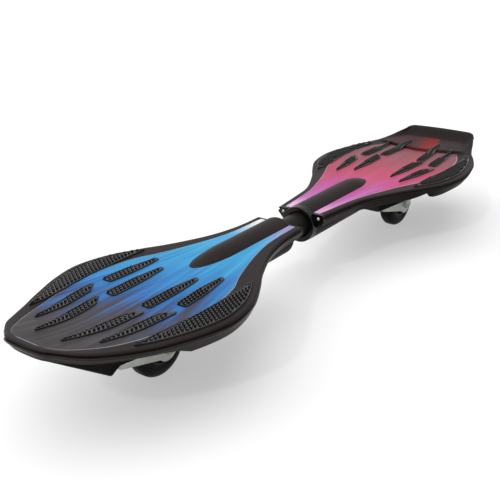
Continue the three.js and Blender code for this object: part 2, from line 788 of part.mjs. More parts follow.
function ballRace() {
  const middle = -raceTop - ballRadius;
  const cageHalf = cageThickness / 2;
  const cageOuter = ballCircleRadius + ballRadius / 2;
  const parts = [ring("z", cageOuter - cageWidth, cageOuter, middle - cageHalf, middle + cageHalf, [0, 0, 0],
    hubFacets)];
  for (let ball = 0; ball < ballCount; ball += 1) {
    const angle = (2 * Math.PI * ball) / ballCount;
    const geometry = new THREE.OctahedronGeometry(ballRadius);
    const [x, y] = [ballCircleRadius * Math.cos(angle), ballCircleRadius * Math.sin(angle)];
    parts.push(solidOf(geometry.translate(x, y, middle)));
  }
  return join(...parts);
}

function cheek(sign) {
  const shape = new THREE.Shape();
  const axle = [trail, -casterDepth];
  shape.moveTo(-cheekFront, -crownTop);
  shape.lineTo(-cheekFront, -crownTop - cheekSkirt);
  shape.absarc(...axle, cheekLobe, cheekArcFrom, cheekArcTo, false);
  shape.lineTo(cheekRear, -crownTop - cheekRearDrop);
  shape.lineTo(cheekRear, -crownTop);
  const flat = new THREE.Shape(shape.getPoints(arcSteps));
  const geometry = new THREE.ExtrudeGeometry(flat, { depth: cheekThickness, bevelEnabled: false });
  geometry.rotateX(Math.PI / 2);
  const near = sign > 0 ? cheekInner + cheekThickness : -cheekInner;
  const plate = solidOf(geometry.translate(0, near, 0));
  const from = Math.min(sign * (bearingFace + seatGap), sign * (cheekInner + cheekThickness / 2));
  const to = Math.max(sign * (bearingFace + seatGap), sign * (cheekInner + cheekThickness / 2));
  const boss = rod("y", cheekBossRadius, from, to, [trail, 0, -casterDepth], smallFacets);
  return join(plate, boss);
}

function fork() {
  const crown = join(
    rod("z", crownRadius, -crownTop - crownThickness, -crownTop, [0, 0, 0], hubFacets),
    box([-cheekFront, -cheekInner - cheekThickness, -crownTop - crownThickness],
      [cheekRear, cheekInner + cheekThickness, -crownTop]),
  );
  const pin = rod("z", kingpinRadius + 2 * seatGap, -overrun, 0, [0, 0, 0], smallFacets);
  const outside = cheekInner + cheekThickness + overrun;
  const axle = rod("y", axleRadius + seatGap, -outside, outside, [trail, 0, -casterDepth], smallFacets);
  return cut(join(crown, cheek(1), cheek(-1)), pin, axle);
}

function kingpin() {
  const under = -crownTop - crownThickness - seatGap;
  const shank = rod("z", kingpinRadius, under - seatGap, kingpinTop, [0, 0, 0], smallFacets);
  const head = turned("z", [
    [0, under - kingpinHeadHeight], [kingpinHeadRadius * domeShare, under - kingpinHeadHeight],
    [kingpinHeadRadius, under - kingpinHeadHeight / 2], [kingpinHeadRadius, under], [0, under],
  ], [0, 0, 0], smallFacets);
  return join(shank, head);
}

function kingpinNut() {
  const nut = hexagon("z", nutAcross, seatGap, seatGap + nutHeight, [0, 0, 0]);
  return cut(nut, rod("z", kingpinRadius + seatGap, -overrun, overrun, [0, 0, 0], smallFacets));
}

function axleBolt() {
  const outside = cheekInner + cheekThickness + seatGap;
  const centre = [trail, 0, -casterDepth];
  const shank = rod("y", axleRadius, -outside - axleNutHeight / 2, outside + seatGap, centre, smallFacets);
  const head = hexagon("y", axleHeadAcross, outside, outside + axleHeadHeight, centre);
  return join(shank, head);
}

function axleNut() {
  const outside = cheekInner + cheekThickness + seatGap;
  const half = axleNutHeight / 2;
  const centre = [trail, 0, -casterDepth];
  const nut = hexagon("y", axleHeadAcross, -outside - half - seatGap, -outside, centre);
  const dome = turned("y", [
    [0, -outside - axleNutHeight], [axleRadius * domeShare, -outside - axleNutHeight + half / 4],
    [axleHeadAcross / 2 - seatGap, -outside - half], [0, -outside - half],
  ], centre, smallFacets);
  const hole = rod("y", axleRadius + seatGap, -outside - half - 2 * seatGap, 0, centre, smallFacets);
  return cut(join(nut, dome), hole);
}

function tyre() {
  const half = wheelWidth / 2;
  const inner = hubRadius + seatGap;
  const side = [[inner, half - sidewallHollow]];
  for (let step = 0; step <= tyreSteps; step += 1) {
    const angle = (step / tyreSteps) * (Math.PI / 2);
    const across = treadHalf + (half - treadHalf) * Math.cos(angle);
    side.push([wheelRadius - tyreRound * (1 - Math.sin(angle)), across]);
  }
  const mirrored = side.map(([radius, across]) => [radius, -across]);
  const profile = [...mirrored, ...side.reverse(), mirrored[0]];
  return turned("y", profile, [trail, 0, -casterDepth], tyreFacets, Math.PI / tyreFacets + swivelTilt);
}

function hub() {
  const half = wheelWidth / 2 - hubInset;
  const bore = bearingRadius + seatGap;
  const land = bearingFace - bearingWidth - seatGap;
  const rimInner = hubRadius - hubRimWall;
  const profile = [
    [bore, -half], [hubBossRadius, -half], [hubBossRadius, -hubWebHalf], [rimInner, -hubWebHalf],
    [rimInner, -half], [hubRadius, -half], [hubRadius, half], [rimInner, half],
    [rimInner, hubWebHalf], [hubBossRadius, hubWebHalf], [hubBossRadius, half], [bore, half],
    [bore, land], [bore - crownThickness, land], [bore - crownThickness, -land], [bore, -land], [bore, -half],
  ];
  const centre = [trail, 0, -casterDepth];
  const body = turned("y", profile, centre, hubFacets);
  const circle = (hubBossRadius + rimInner) / 2;
  const holes = Array.from({ length: spokeHoleCount }, (_, place) => {
    const angle = (2 * Math.PI * place) / spokeHoleCount;
    const middle = [trail + circle * Math.cos(angle), 0, circle * Math.sin(angle) - casterDepth];
    return rod("y", spokeHoleRadius, -half, half, middle, arcSteps);
  });
  return cut(body, ...holes);
}

function bearing(sign) {
  const [inner, outer] = [axleRadius + seatGap, bearingRadius];
  const [from, to] = [bearingFace - bearingWidth, bearingFace];
  const [low, high] = bearingShieldRadii;
  const profile = [
    [inner, from], [outer, from], [outer, to], [high, to], [high, to - bearingShieldDepth],
    [low, to - bearingShieldDepth], [low, to], [inner, to], [inner, from],
  ].map(([radius, place]) => [radius, sign * place]);
  return turned("y", profile, [trail, 0, -casterDepth], smallFacets);
}

function spacer() {
  const half = bearingFace - bearingWidth - seatGap;
  const inner = axleRadius + seatGap;
  return ring("y", inner, inner + spacerWall, -half, half, [trail, 0, -casterDepth], smallFacets);
}

// Finishes

const finishes = {
  deck: { color: 0x3a3535, roughness: 0.55, metalness: 0 },
  frontPanel: { color: 0x3d6fb0, roughness: 0.35, metalness: 0 },
  rearPanel: { color: 0xb9627a, roughness: 0.35, metalness: 0 },
  pad: { color: 0x151313, roughness: 0.4, metalness: 0 },
  tube: { color: 0x26211f, roughness: 0.4, metalness: 0.3 },
  bush: { color: 0xd8d4c8, roughness: 0.5, metalness: 0 },
  steel: { color: 0xa5aaa0, roughness: 0.35, metalness: 0.9 },
  tyre: { color: 0x161516, roughness: 0.45, metalness: 0 },
  hub: { color: 0x2c2b2d, roughness: 0.5, metalness: 0 },
};

const board = new THREE.Group();

function addPiece(parent, name, solid, finish) {
  const mesh = new THREE.Mesh(geometryOf(solid), new THREE.MeshStandardMaterial(finishes[finish]));
  mesh.name = name;
  parent.add(mesh);
}

function addCaster(prefix, axleX) {
  const caster = new THREE.Group();
  caster.position.copy(swivelPlace(axleX));
  caster.rotation.y = -swivelTilt;
  addPiece(caster, `${prefix}_swivel_plate`, swivelPlate(), "steel");
  addPiece(caster, `${prefix}_ball_race`, ballRace(), "steel");
  addPiece(caster, `${prefix}_kingpin`, kingpin(), "steel");
  addPiece(caster, `${prefix}_kingpin_nut`, kingpinNut(), "steel");
  addPiece(caster, `${prefix}_fork`, fork(), "steel");
  addPiece(caster, `${prefix}_axle_bolt`, axleBolt(), "steel");
  addPiece(caster, `${prefix}_axle_nut`, axleNut(), "steel");
  addPiece(caster, `${prefix}_bearing_spacer`, spacer(), "steel");
  addPiece(caster, `${prefix}_tyre`, tyre(), "tyre");
  addPiece(caster, `${prefix}_wheel_hub`, hub(), "hub");
  addPiece(caster, `${prefix}_bearing_left`, bearing(1), "steel");
  addPiece(caster, `${prefix}_bearing_right`, bearing(-1), "steel");
  board.add(caster);
}

function addFootboards() {
  addPiece(board, "front_deck", frontDeck(), "deck");
  addPiece(board, "rear_deck", rearDeck(), "deck");
  const frontPanel = panelSkin(frontPanelShares, noseX, frontLength, frontTop, 0);
  const frontHump = tunnel(frontNeckX, frontTunnelX, frontTunnelNose, seatGap);
  const frontCut = [frontHump, ...frontPadSolids(seatGap).values()];
  addPiece(board, "front_panel", cut(frontPanel, ...frontCut), "frontPanel");
  const rearPanel = panelSkin(rearPanelShares, rearNeckX, rearLength, () => deckHeight, 0);
  const rearHump = tunnel(rearNeckX, rearTunnelX, rearTunnelNose, seatGap);
  const capRoom = capSlab(rearNeckX - overrun, rearNeckX + capThickness + seatGap);
  const rearCut = [rearHump, capRoom, ledgeBlock(seatGap), ...rearPadSolids(seatGap).values()];
  addPiece(board, "rear_panel", cut(rearPanel, ...rearCut), "rearPanel");
  const pads = [...frontPadSolids(0), ...rearPadSolids(0)];
  for (const [name, solid] of pads) addPiece(board, name, solid, "pad");
}

function addTorsionJoint() {
  addPiece(board, "torsion_tube", torsionTube(), "tube");
  addPiece(board, "torsion_bar", torsionBar(), "steel");
  addPiece(board, "front_bar_anchor", frontAnchor(), "steel");
  addPiece(board, "rear_bar_anchor", rearAnchor(), "steel");
  addPiece(board, "outer_bush", bush(rearNeckX + capThickness + 2 * seatGap), "bush");
  addPiece(board, "inner_bush", bush(tubeRearX - bushLength), "bush");
  addPiece(board, "neck_cap", neckCap(), "tube");
  addPiece(board, "cap_screw_left", wingScrew(1), "steel");
  addPiece(board, "cap_screw_right", wingScrew(-1), "steel");
  addPiece(board, "front_cross_bolt", crossBolt(crossBoltFrontX, crossBoltTop), "steel");
  addPiece(board, "rear_cross_bolt", crossBolt(crossBoltRearX, -barTurnRadius - seatGap), "steel");
}

addFootboards();
addTorsionJoint();
addCaster("front", frontAxleX);
addCaster("rear", rearAxleX);

export default board;
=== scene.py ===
import json
import math

import bpy
import numpy as np
from mathutils import Matrix, Vector

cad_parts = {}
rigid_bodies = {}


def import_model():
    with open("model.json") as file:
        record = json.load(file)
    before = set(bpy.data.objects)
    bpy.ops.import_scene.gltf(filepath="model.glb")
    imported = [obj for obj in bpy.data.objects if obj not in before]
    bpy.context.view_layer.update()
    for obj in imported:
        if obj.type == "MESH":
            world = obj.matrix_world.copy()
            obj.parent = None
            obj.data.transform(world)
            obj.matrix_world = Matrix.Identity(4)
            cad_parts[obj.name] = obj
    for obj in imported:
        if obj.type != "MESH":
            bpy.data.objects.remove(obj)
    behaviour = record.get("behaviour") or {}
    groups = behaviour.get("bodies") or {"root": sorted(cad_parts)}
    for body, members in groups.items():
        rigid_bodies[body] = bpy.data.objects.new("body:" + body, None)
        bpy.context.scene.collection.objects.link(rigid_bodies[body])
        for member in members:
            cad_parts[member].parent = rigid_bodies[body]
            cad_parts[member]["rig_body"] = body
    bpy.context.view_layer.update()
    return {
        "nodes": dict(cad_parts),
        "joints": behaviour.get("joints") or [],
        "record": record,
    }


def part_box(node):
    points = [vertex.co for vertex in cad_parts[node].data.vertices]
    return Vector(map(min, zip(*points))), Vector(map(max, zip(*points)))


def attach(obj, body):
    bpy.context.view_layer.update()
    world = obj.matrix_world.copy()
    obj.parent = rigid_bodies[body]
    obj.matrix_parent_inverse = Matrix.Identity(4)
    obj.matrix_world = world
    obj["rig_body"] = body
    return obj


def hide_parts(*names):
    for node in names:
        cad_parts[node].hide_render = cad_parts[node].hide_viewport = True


bl_info = {
    "name": "Caster Board",
    "version": (1, 0, 0),
    "blender": (4, 5, 0),
    "location": "3D View > Sidebar > Caster Board",
    "description": "Models and finishes a two-wheeled caster board around its packed frame",
    "category": "Object",
}

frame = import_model()

# Directions of the frame
ALONG, ACROSS, UP = Vector((1, 0, 0)), Vector((0, 1, 0)), Vector((0, 0, 1))
MIDDLE = (0, 0, 0)

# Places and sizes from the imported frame, in metres
JOINTS = {joint["name"]: joint for joint in frame["joints"]}
NOSE_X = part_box("front_deck")[0].x
FRONT_NECK_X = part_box("front_deck")[1].x
REAR_NECK_X, _, TUBE_Z = JOINTS["deck_twist"]["pos_m"]
REAR_FACE_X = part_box("rear_deck")[0].x
TAIL_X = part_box("rear_deck")[1].x
HALF_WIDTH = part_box("front_deck")[1].y
TOP_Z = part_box("rear_panel")[1].z
FRONT_LENGTH = FRONT_NECK_X - NOSE_X
REAR_LENGTH = TAIL_X - REAR_NECK_X
CAP_FRONT_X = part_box("neck_cap")[0].x
CAP_BACK_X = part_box("neck_cap")[1].x
TUBE_FRONT_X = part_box("torsion_tube")[0].x
TUBE_REAR_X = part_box("torsion_tube")[1].x
TUBE_RADIUS = (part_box("torsion_tube")[1].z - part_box("torsion_tube")[0].z) / 2
WHEEL_RADIUS = JOINTS["front_wheel_spin"]["pos_m"][2]
WHEEL_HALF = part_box("front_tyre")[1].y

# Outlines: shares of a footboard's length, from its nose or neck, and of half the board's width
FRONT_OUTLINE = (
    (0, 0.095), (0.018, 0.268), (0.062, 0.475), (0.115, 0.602), (0.177, 0.722), (0.227, 0.812),
    (0.327, 0.948), (0.418, 1), (0.516, 0.924), (0.605, 0.76), (0.68, 0.598), (0.793, 0.414),
    (0.9, 0.325), (1, 0.306),
)
REAR_OUTLINE = (
    (0, 0.306), (0.11, 0.354), (0.205, 0.419), (0.325, 0.63), (0.408, 0.82), (0.48, 0.945),
    (0.592, 1), (0.718, 0.91), (0.79, 0.81), (0.838, 0.705), (0.885, 0.63), (0.933, 0.568),
    (0.981, 0.49), (1, 0.41),
)
FRONT_FILM_OUTLINE = (
    (0.02, 0.1), (0.028, 0.215), (0.05, 0.32), (0.085, 0.405), (0.125, 0.485), (0.184, 0.565),
    (0.264, 0.645), (0.37, 0.69), (0.453, 0.688), (0.541, 0.625), (0.6, 0.525), (0.668, 0.43),
    (0.74, 0.345), (0.806, 0.282), (0.877, 0.245), (0.99, 0.227),
)
REAR_FILM_OUTLINE = (
    (0, 0.227), (0.158, 0.297), (0.258, 0.393), (0.36, 0.53), (0.436, 0.65), (0.5, 0.71),
    (0.556, 0.74), (0.63, 0.735), (0.735, 0.66), (0.83, 0.5), (0.85, 0.48),
)
# Skirts: shares of a footboard's length and of the skirt's full depth
FRONT_SKIRT = (
    (-0.05, 0.56), (0.04, 0.54), (0.12, 0.5), (0.22, 0.47), (0.255, 0.62), (0.29, 1), (0.34, 0.95),
    (0.46, 0.8), (0.955, 0.74), (0.98, 0.66), (0.995, 0.5), (1.05, 0.48),
)
REAR_SKIRT = (
    (-0.05, 0.72), (0.213, 0.68), (0.37, 0.64), (0.395, 0.52), (0.42, 0.34), (0.432, 0.35),
    (0.458, 0.72), (0.495, 0.73), (0.54, 0.65), (0.64, 0.57), (1.05, 0.5),
)

# Mouldings; a profile's points are how far it is drawn in and how far it drops
SKIRT_DEPTH = 0.025
SKIRT_DRAW = 0.013
RIM_DRAW = 0.0045
RIM_DROP = 0.0082
FULL_DRAW_WIDTH = 0.03
BEAD_DROPS = (0.0041, 0.0078)
RIM_PROFILE = (
    (0.0045, 0), (0.0022, 0.0001), (0.0009, 0.0014), (0.0009, 0.0024), (0.0027, 0.0029),
    (0.0027, 0.0041), (0.0002, 0.0047), (0.0, 0.0062), (0.0009, 0.0078), (0.0014, 0.0082),
)
RIM_ROUND = 0.0009
TOP_PLATE = 0.0046
CAVITY_DRAW = (0.011, 0.017)
CAVITY_ROUND = 0.002
EDGE_ROUND = 0.0011
BEND_SHARE = 0.3  # how far along a rounded edge its middle point lies
WALL_SHARES = (0.25, 0.5, 0.75, 1.0)
FRONT_HOLLOW = (0.03, 0.87)
REAR_HOLLOW = (0.15, 0.95)
HOLLOW_STEP = 0.0006
STATION_GAP = 0.0002
STATION_MARGIN = 0.004
NOSE_ROUND_SHARE = 0.018
NOSE_FULLNESS = 0.8
NOSE_LIFT = 0.014
NOSE_LIFT_SHARE = 0.25
TAIL_ROUND = 0.012
TAIL_CORNER_SHARE = 0.8
TAIL_BULGE = 0.0015
TAIL_RISE = 0.0165
TAIL_RISE_RUN = 0.1
TAIL_RISE_POWER = 1.6
TAIL_FINE_SPAN = (0.104, 0.0135)
TAIL_FINE_STEP = 0.0011
TAIL_FINE_GAP = 0.0005
LEDGE_HEIGHT = 0.0042
LEDGE_APEX = 0.095
LEDGE_SWEEP = 0.3
LEDGE_ROUND = 0.012
LEDGE_RUN = 0.003
TRAY_HALF_WIDTHS = (0.069, 0.049)
TRAY_LENGTH = 0.066
TRAY_WALL = 0.013
TRAY_BACK_WALL = 0.021
TUNNEL_RADIUS = 0.024
BORE_RADIUS = 0.0193
BORE_BEYOND_TUBE = 0.0212
TUBE_FIT = 0.0003
FRONT_TUNNEL = (0.106, 0.085)
REAR_TUNNEL = (0.118, 0.054)
TUNNEL_SHOULDER = 0.006
NECK_ROUND = (0.013, 0.022)
NECK_ROUND_GAPS = (0.0004, 0.001)
PAST = 0.02  # how far a cutting tool goes past the face that it opens
RIB_THICKNESS = 0.0024
RIB_DEPTH = 0.013
RIB_PITCH = 0.052
RIB_INSET = 0.009
RIB_ABOVE_SKIRT = 0.001
RIB_TOP_DROP = 0.0022
LONG_RIB_Y = 0.0515

# Housings
HOUSING_HALF_WIDTH = 0.054
HOUSING_PLAN_INSET = 0.0004
HOUSING_PLAN_PAST = 0.001
HOUSING_LIP = 0.0426
HOUSING_LIP_HANG = {"front": 0.0068, "rear": 0.0}
HOUSING_LIP_RUN = 0.0104
HOUSING_LIP_HALF_WIDTH = 0.018
HOUSING_LIP_LENGTH = 0.032
HOUSING_NOSE_HALF_WIDTH = 0.022
HOUSING_REACH = {"front": 0.078, "rear": 0.12}
HOUSING_TOP_DROP = 0.003
HOUSING_ROUND = 0.0022

# Films
FILM_WALL = 0.004
FILM_MARGIN = 0.0004
FILM_THICKNESS = 0.0008
FILM_EDGE_DROP = 0.0003
FILM_COLUMNS = (-1, -0.98, *np.linspace(-0.94, 0.94, 47), 0.98, 1)
FILM_ROWS = 150
FILM_HUMP_GAP = 0.0002
FILM_HUMP_PAST = 0.01
# Share of a film's length in its last row, which takes the painted edge highlight
EDGE_HIGHLIGHT_SHARE = 0.003
TRAY_PRINT_POINTS = (70, 81)
TRAY_PRINT_INSET = 0.0015
TRAY_PRINT_BACK = 0.001
TRAY_PRINT_SINK = 0.0006
TRAY_PRINT_STAND = 0.6
TRAY_PRINT_POWER = 1.6
TRAY_PRINT_GAP = 0.0001

# Grip pads: name, pointed tip and wide end in shares from the nose or tail and of half the width,
# and skew
FRONT_PADS = (
    ("nose_outer", (0.135, 0.393), (0.341, 0.472), 1),
    ("nose_inner", (0.08, 0.157), (0.296, 0.236), 1),
    ("neck_outer", (0.574, 0.41), (0.388, 0.463), 0),
    ("neck_inner", (0.534, 0.218), (0.333, 0.218), 0),
)
REAR_PADS = (
    ("neck_outer", (0.594, 0.445), (0.415, 0.533), 0.8),
    ("neck_inner", (0.558, 0.262), (0.365, 0.288), 0.8),
    ("tail_outer", (0.192, 0.455), (0.38, 0.497), 0),
    ("tail_inner", (0.15, 0.21), (0.345, 0.268), 0),
)
# Shares of a pad's length and of its width
POINTED_PAD_WIDTHS = (
    (0, 0.06), (0.015, 0.18), (0.12, 0.36), (0.3, 0.68), (0.5, 0.94), (0.7, 1), (0.93, 0.97),
    (0.985, 0.84), (1, 0.62),
)
BLUNT_PAD_WIDTHS = (
    (0, 0.1), (0.012, 0.3), (0.05, 0.46), (0.2, 0.68), (0.4, 0.9), (0.6, 1), (0.93, 0.97),
    (0.985, 0.84), (1, 0.62),
)
FRONT_CRESCENT = (0.175, 0.599)
REAR_CRESCENT = (0.215, 0.611)
FRONT_CRESCENT_WIDTHS = (
    (0, 0.2), (0.012, 0.5), (0.06, 0.8), (0.14, 0.95), (0.25, 1), (0.5, 1), (0.65, 1), (0.8, 1),
    (0.92, 0.92), (0.97, 0.74), (0.992, 0.44), (1, 0.16),
)
REAR_CRESCENT_WIDTHS = (
    (0, 0.3), (0.01, 0.62), (0.03, 0.86), (0.06, 1), (0.2, 1), (0.35, 1), (0.5, 1), (0.65, 1),
    (0.82, 1), (0.92, 0.9), (0.975, 0.66), (0.994, 0.36), (1, 0.14),
)
FRONT_CRESCENT_INNER = (
    (0, 0.63), (0.1, 0.625), (0.3, 0.655), (0.5, 0.69), (0.8, 0.685), (1, 0.672),
)
REAR_CRESCENT_INNER = ((0, 0.69), (0.15, 0.725), (0.5, 0.72), (0.75, 0.675), (1, 0.672))
CRESCENT_INSET = 0.0085
PAD_WIDTH = 0.014
PAD_SINK = 0.0015
PAD_SKEW = 0.006
PAD_TIP_WIDTH = 0.0014
PAD_CLIMB = 0.02
# A pad's border: shares of its width, and drops below its top
PAD_BORDER = ((0.12, 0.0003), (0.35, 0), (0.65, 0))
PAD_SHOULDER = 0.0008
PAD_END_DROP = 0.0006
STUD_TAPER = 0.86
STUD_SINK = 0.0006
STUD_ROW_SHARE = 0.8
STUD_MARGIN_SHARE = 0.36
STUD_SIDES = 8

# Torsion joint
TUBE_WALL = 0.0025
TUBE_EDGE = 0.0006
CAP_FOOT = 0.002
CAP_DISC_ROUND = 0.001
CAP_COLLAR_ROUND = 0.0022
CAP_COLLAR_INSET = 0.0004
CAP_BORE_FIT = 0.0005
SCREW_SINK = 0.0006
SCREW_HEAD = ((0, 0), (0.3, 0.0001), (0.5, 0.0005), (0.6, 0.0011), (0.6, 0.0015))
SCREW_SHANK_RADIUS = 0.002
SCREW_TIP = 0.001
SCREW_ROUND = 0.0003
SCREW_SLOT = ((-0.0005, -0.0015, -0.0003), (0.0007, 0.0015, 0.0003))

# Casters: places along the trail and below the swivel's place
CROWN_DROP = 0.0075
CROWN_THICKNESS = 0.0025
CROWN_SPAN = (-0.032, 0.024)
CROWN_SIDE_INSET = 0.0003
CROWN_DISC_RADIUS = 0.024
CHEEK_THICKNESS = 0.003
CHEEK_CORNERS = (0.003, 0.005)
CHEEK_LOBE = 0.0155
CHEEK_TURN = (1.06 * math.pi, 2.05 * math.pi)
AXLE_BOSS_RADIUS = 0.006
PIN_HOLE_RADIUS = 0.0049
AXLE_HOLE_RADIUS = 0.0043
HOLE_REACH = 0.03
FORK_EDGE = 0.0005
NUT_EDGE = 0.0004
FINE_EDGE = 0.0003
PLATE_HALF_LENGTH = 0.032
PLATE_HALF_WIDTH = 0.03
PLATE_CORNER = 0.012
PLATE_THICKNESS = 0.003
PLATE_GAP = 0.0003
PLATE_HOLE_RADIUS = 0.0046
RACE_LIP_RADII = (0.0205, 0.02175)
RACE_LIP_DROPS = (0.0018, 0.0057)
PLATE_BOLT_SPOT = (0.023, 0.021)
PLATE_BOLT_RADIUS = 0.0048
PLATE_BOLT_DROPS = (0.0062, 0.0028)
PLATE_BOLT_ROUND = 0.0012

# Wheels
TYRE_INNER = 0.0223
TYRE_CHAMFER = 0.0015
TYRE_HOLLOW = 0.0012
TYRE_SIDE_GAP = 0.0002
TYRE_FLAT = 0.0035
TYRE_CORNER = 0.012
HUB_SIDE_DROP = 0.001
HUB_BORE = 0.0088
HUB_SEAT = (0.0113, 0.008)
HUB_BOSS = 0.0135
HUB_RIM = (0.0195, 0.022)
HUB_WEB = 0.004
HUB_ROUND = 0.0006
HUB_HOLES = 6
HUB_HOLE_RADIUS = 0.0024
BEARING_RADII = (0.0043, 0.011)
SHIELD_RADII = (0.006, 0.0062, 0.0092, 0.0094)
SHIELD_DROP = 0.0004

# Lamps: name, azimuth, elevation and spread in degrees; the strength is a setting
LAMPS = (("key", 140, 76, 80), ("fill", 235, 30, 70), ("back", 125, 35, 40), ("glint", 185, 42, 4))
FLOOR_SIZE = 24
FLOOR_TONE = 0.62
SENSOR_WIDTH = 36

# Resolution of the meshes
LINE_STEPS = 10
CORNER_STEPS = 12
TURN_STEPS = 96
MEDIUM_TURN_STEPS = 64
SMALL_TURN_STEPS = 40
FRONT_TOP_POINTS = 11
REAR_TOP_POINTS = 121
UNDER_POINTS = 7
TUNNEL_STEPS = 28
NECK_ROUND_STEPS = 14
LEAF_STEPS = 7
CRESCENT_STEPS = 8
BOSS_STEPS = 48
BOLT_STEPS = 32
HOLE_STEPS = 24
TYRE_STEPS = 128
HUB_STEPS = 72
MERGE_DISTANCE = 1e-6
SMOOTH_ANGLE = math.radians(35)
ROUND_ANGLE = math.radians(42)
PAD_SMOOTH_ANGLE = math.radians(50)


# Reading the settings and the frame

def settings():
    return bpy.context.scene.caster_board


def caster_space(end):
    """A swivel's place, and the directions back along its trail and up its axis."""
    joint = JOINTS[f"{end}_caster_swivel"]
    axis = Vector(joint["axis"]).normalized()
    return Vector(joint["pos_m"]), ACROSS.cross(axis), axis


def light_of(code):
    """A colour written as in a web page, in the linear light that a shader takes."""
    parts = [int(code[place:place + 2], 16) / 255 for place in (1, 3, 5)]
    return tuple(c / 12.92 if c < 0.04045 else ((c + 0.055) / 1.055) ** 2.4 for c in parts)


def scaled(colour, factor):
    return tuple(c * factor for c in colour)


# Curves and surfaces that the pieces share

def ease(value):
    t = np.clip(value, 0, 1)
    return t * t * (3 - 2 * t)


def smooth_line(shares, steps=LINE_STEPS):
    """Points on a smooth line through all the shares."""
    p = np.array(shares, float)
    padded = np.vstack([p[:1], p, p[-1:]])
    t = np.linspace(0, 1, steps, endpoint=False)[:, None]
    parts = []
    for k in range(len(p) - 1):
        before, start, end, after = padded[k:k + 4]
        leave, arrive = (end - before) / 2, (after - start) / 2
        cubic = (2 * start - 2 * end + leave + arrive) * t ** 3
        square = (-3 * start + 3 * end - 2 * leave - arrive) * t ** 2
        parts.append(cubic + square + leave * t + start)
    return np.vstack([*parts, p[-1:]])


def outline(shares, start_x, length):
    line = smooth_line(shares)
    return start_x + line[:, 0] * length, line[:, 1] * HALF_WIDTH


def monotone(line):
    """The part of an outline along which x grows, for reading widths."""
    xs, widths = line
    keep = np.concatenate([[True], np.diff(xs) > 1e-9])
    return xs[keep], widths[keep]


def round_nose(xs, widths):
    """The front outline with its tip closed in a rounded corner."""
    run = NOSE_ROUND_SHARE * FRONT_LENGTH
    turn = np.linspace(0, math.pi / 2, CORNER_STEPS)
    keep = xs > xs[0] + run
    x = xs[0] + run * (1 - np.cos(turn))
    w = np.interp(xs[0] + run, xs, widths) * np.sin(turn) ** NOSE_FULLNESS
    return np.concatenate([x[:-1], xs[keep]]), np.concatenate([w[:-1], widths[keep]])


def round_tail(xs, widths):
    """The rear outline with its corners rounded and its end closed in a slight bulge."""
    turn = np.linspace(0, math.pi / 2, CORNER_STEPS)
    end = xs[-1] - TAIL_BULGE
    keep = xs < end - TAIL_ROUND
    edge = np.interp(end - TAIL_ROUND, xs, widths)
    corner = TAIL_CORNER_SHARE * edge
    x = end - TAIL_ROUND * (1 - np.sin(turn))
    w = corner + (edge - corner) * np.cos(turn)
    across = np.linspace(1, 0, 10)[1:]
    bulge = end + TAIL_BULGE * (1 - across ** 2)
    return np.concatenate([xs[keep], x, bulge]), np.concatenate([widths[keep], w, corner * across])


FRONT_LINE = round_nose(*outline(FRONT_OUTLINE, NOSE_X, FRONT_LENGTH))
REAR_LINE = round_tail(*outline(REAR_OUTLINE, REAR_NECK_X, REAR_LENGTH))
FRONT_FILM_LINE = outline(FRONT_FILM_OUTLINE, NOSE_X, FRONT_LENGTH)
REAR_FILM_LINE = outline(REAR_FILM_OUTLINE, REAR_NECK_X, REAR_LENGTH)


def front_top(x, y):
    """The front footboard's top, which lifts towards the nose."""
    start = NOSE_X + NOSE_LIFT_SHARE * FRONT_LENGTH
    t = np.maximum(0, (start - x) / (start - NOSE_X))
    return TOP_Z + NOSE_LIFT * t * t + 0 * y


def rear_rim(x, y):
    """The height of the rear footboard's rim, which rises towards the tail."""
    share = np.clip((x - TAIL_X + TAIL_RISE_RUN) / TAIL_RISE_RUN, 0, 1)
    return TOP_Z + TAIL_RISE * share ** TAIL_RISE_POWER + 0 * y


def ledge_edge(y):
    return TAIL_X - LEDGE_APEX + LEDGE_SWEEP * (np.sqrt(y * y + LEDGE_ROUND ** 2) - LEDGE_ROUND)


def tray_share(x):
    return (x - TAIL_X + LEDGE_APEX) / TRAY_LENGTH


def rear_top(x, y):
    """The rear footboard's top: inside the rim, the film's floor and the tray behind it."""
    rim = rear_rim(x, y)
    film = np.interp(x, *REAR_FILM_LINE) + FILM_MARGIN
    in_film = ease((film + FILM_WALL / 2 - np.abs(y)) / FILM_WALL) * (x < ledge_edge(y) + LEDGE_RUN)
    back = TAIL_X - LEDGE_APEX + TRAY_LENGTH + TRAY_BACK_WALL
    wide, narrow = TRAY_HALF_WIDTHS
    side = wide + np.clip(tray_share(x), 0, 1) * (narrow - wide)
    in_tray = ease((side + TRAY_WALL - np.abs(y)) / TRAY_WALL) * ease((back - x) / TRAY_BACK_WALL)
    in_tray = in_tray * (x > ledge_edge(y) - LEDGE_RUN)
    floor = TOP_Z + LEDGE_HEIGHT * ease((x - ledge_edge(y)) / LEDGE_RUN)
    return rim + (floor - rim) * np.maximum(in_film, in_tray)


def rear_pad_top(x, y):
    """The surface that the rear pads lie on, which climbs the ledge in an easy slope."""
    return TOP_Z + LEDGE_HEIGHT * ease((x - ledge_edge(y) + PAD_CLIMB - LEDGE_RUN) / PAD_CLIMB)


# Modelling tools

def clear_selection():
    if bpy.context.object and bpy.context.object.mode != "OBJECT":
        bpy.ops.object.mode_set(mode="OBJECT")
    bpy.ops.object.select_all(action="DESELECT")


def only(piece):
    clear_selection()
    piece.select_set(True)
    bpy.context.view_layer.objects.active = piece


def shaped(piece, name, points):
    """Names a new primitive and sets its vertices at their places."""
    piece.name = name
    piece.data.name = name
    piece.data.vertices.foreach_set("co", np.asarray(points, np.float32).reshape(-1))
    piece.data.update()
    return piece


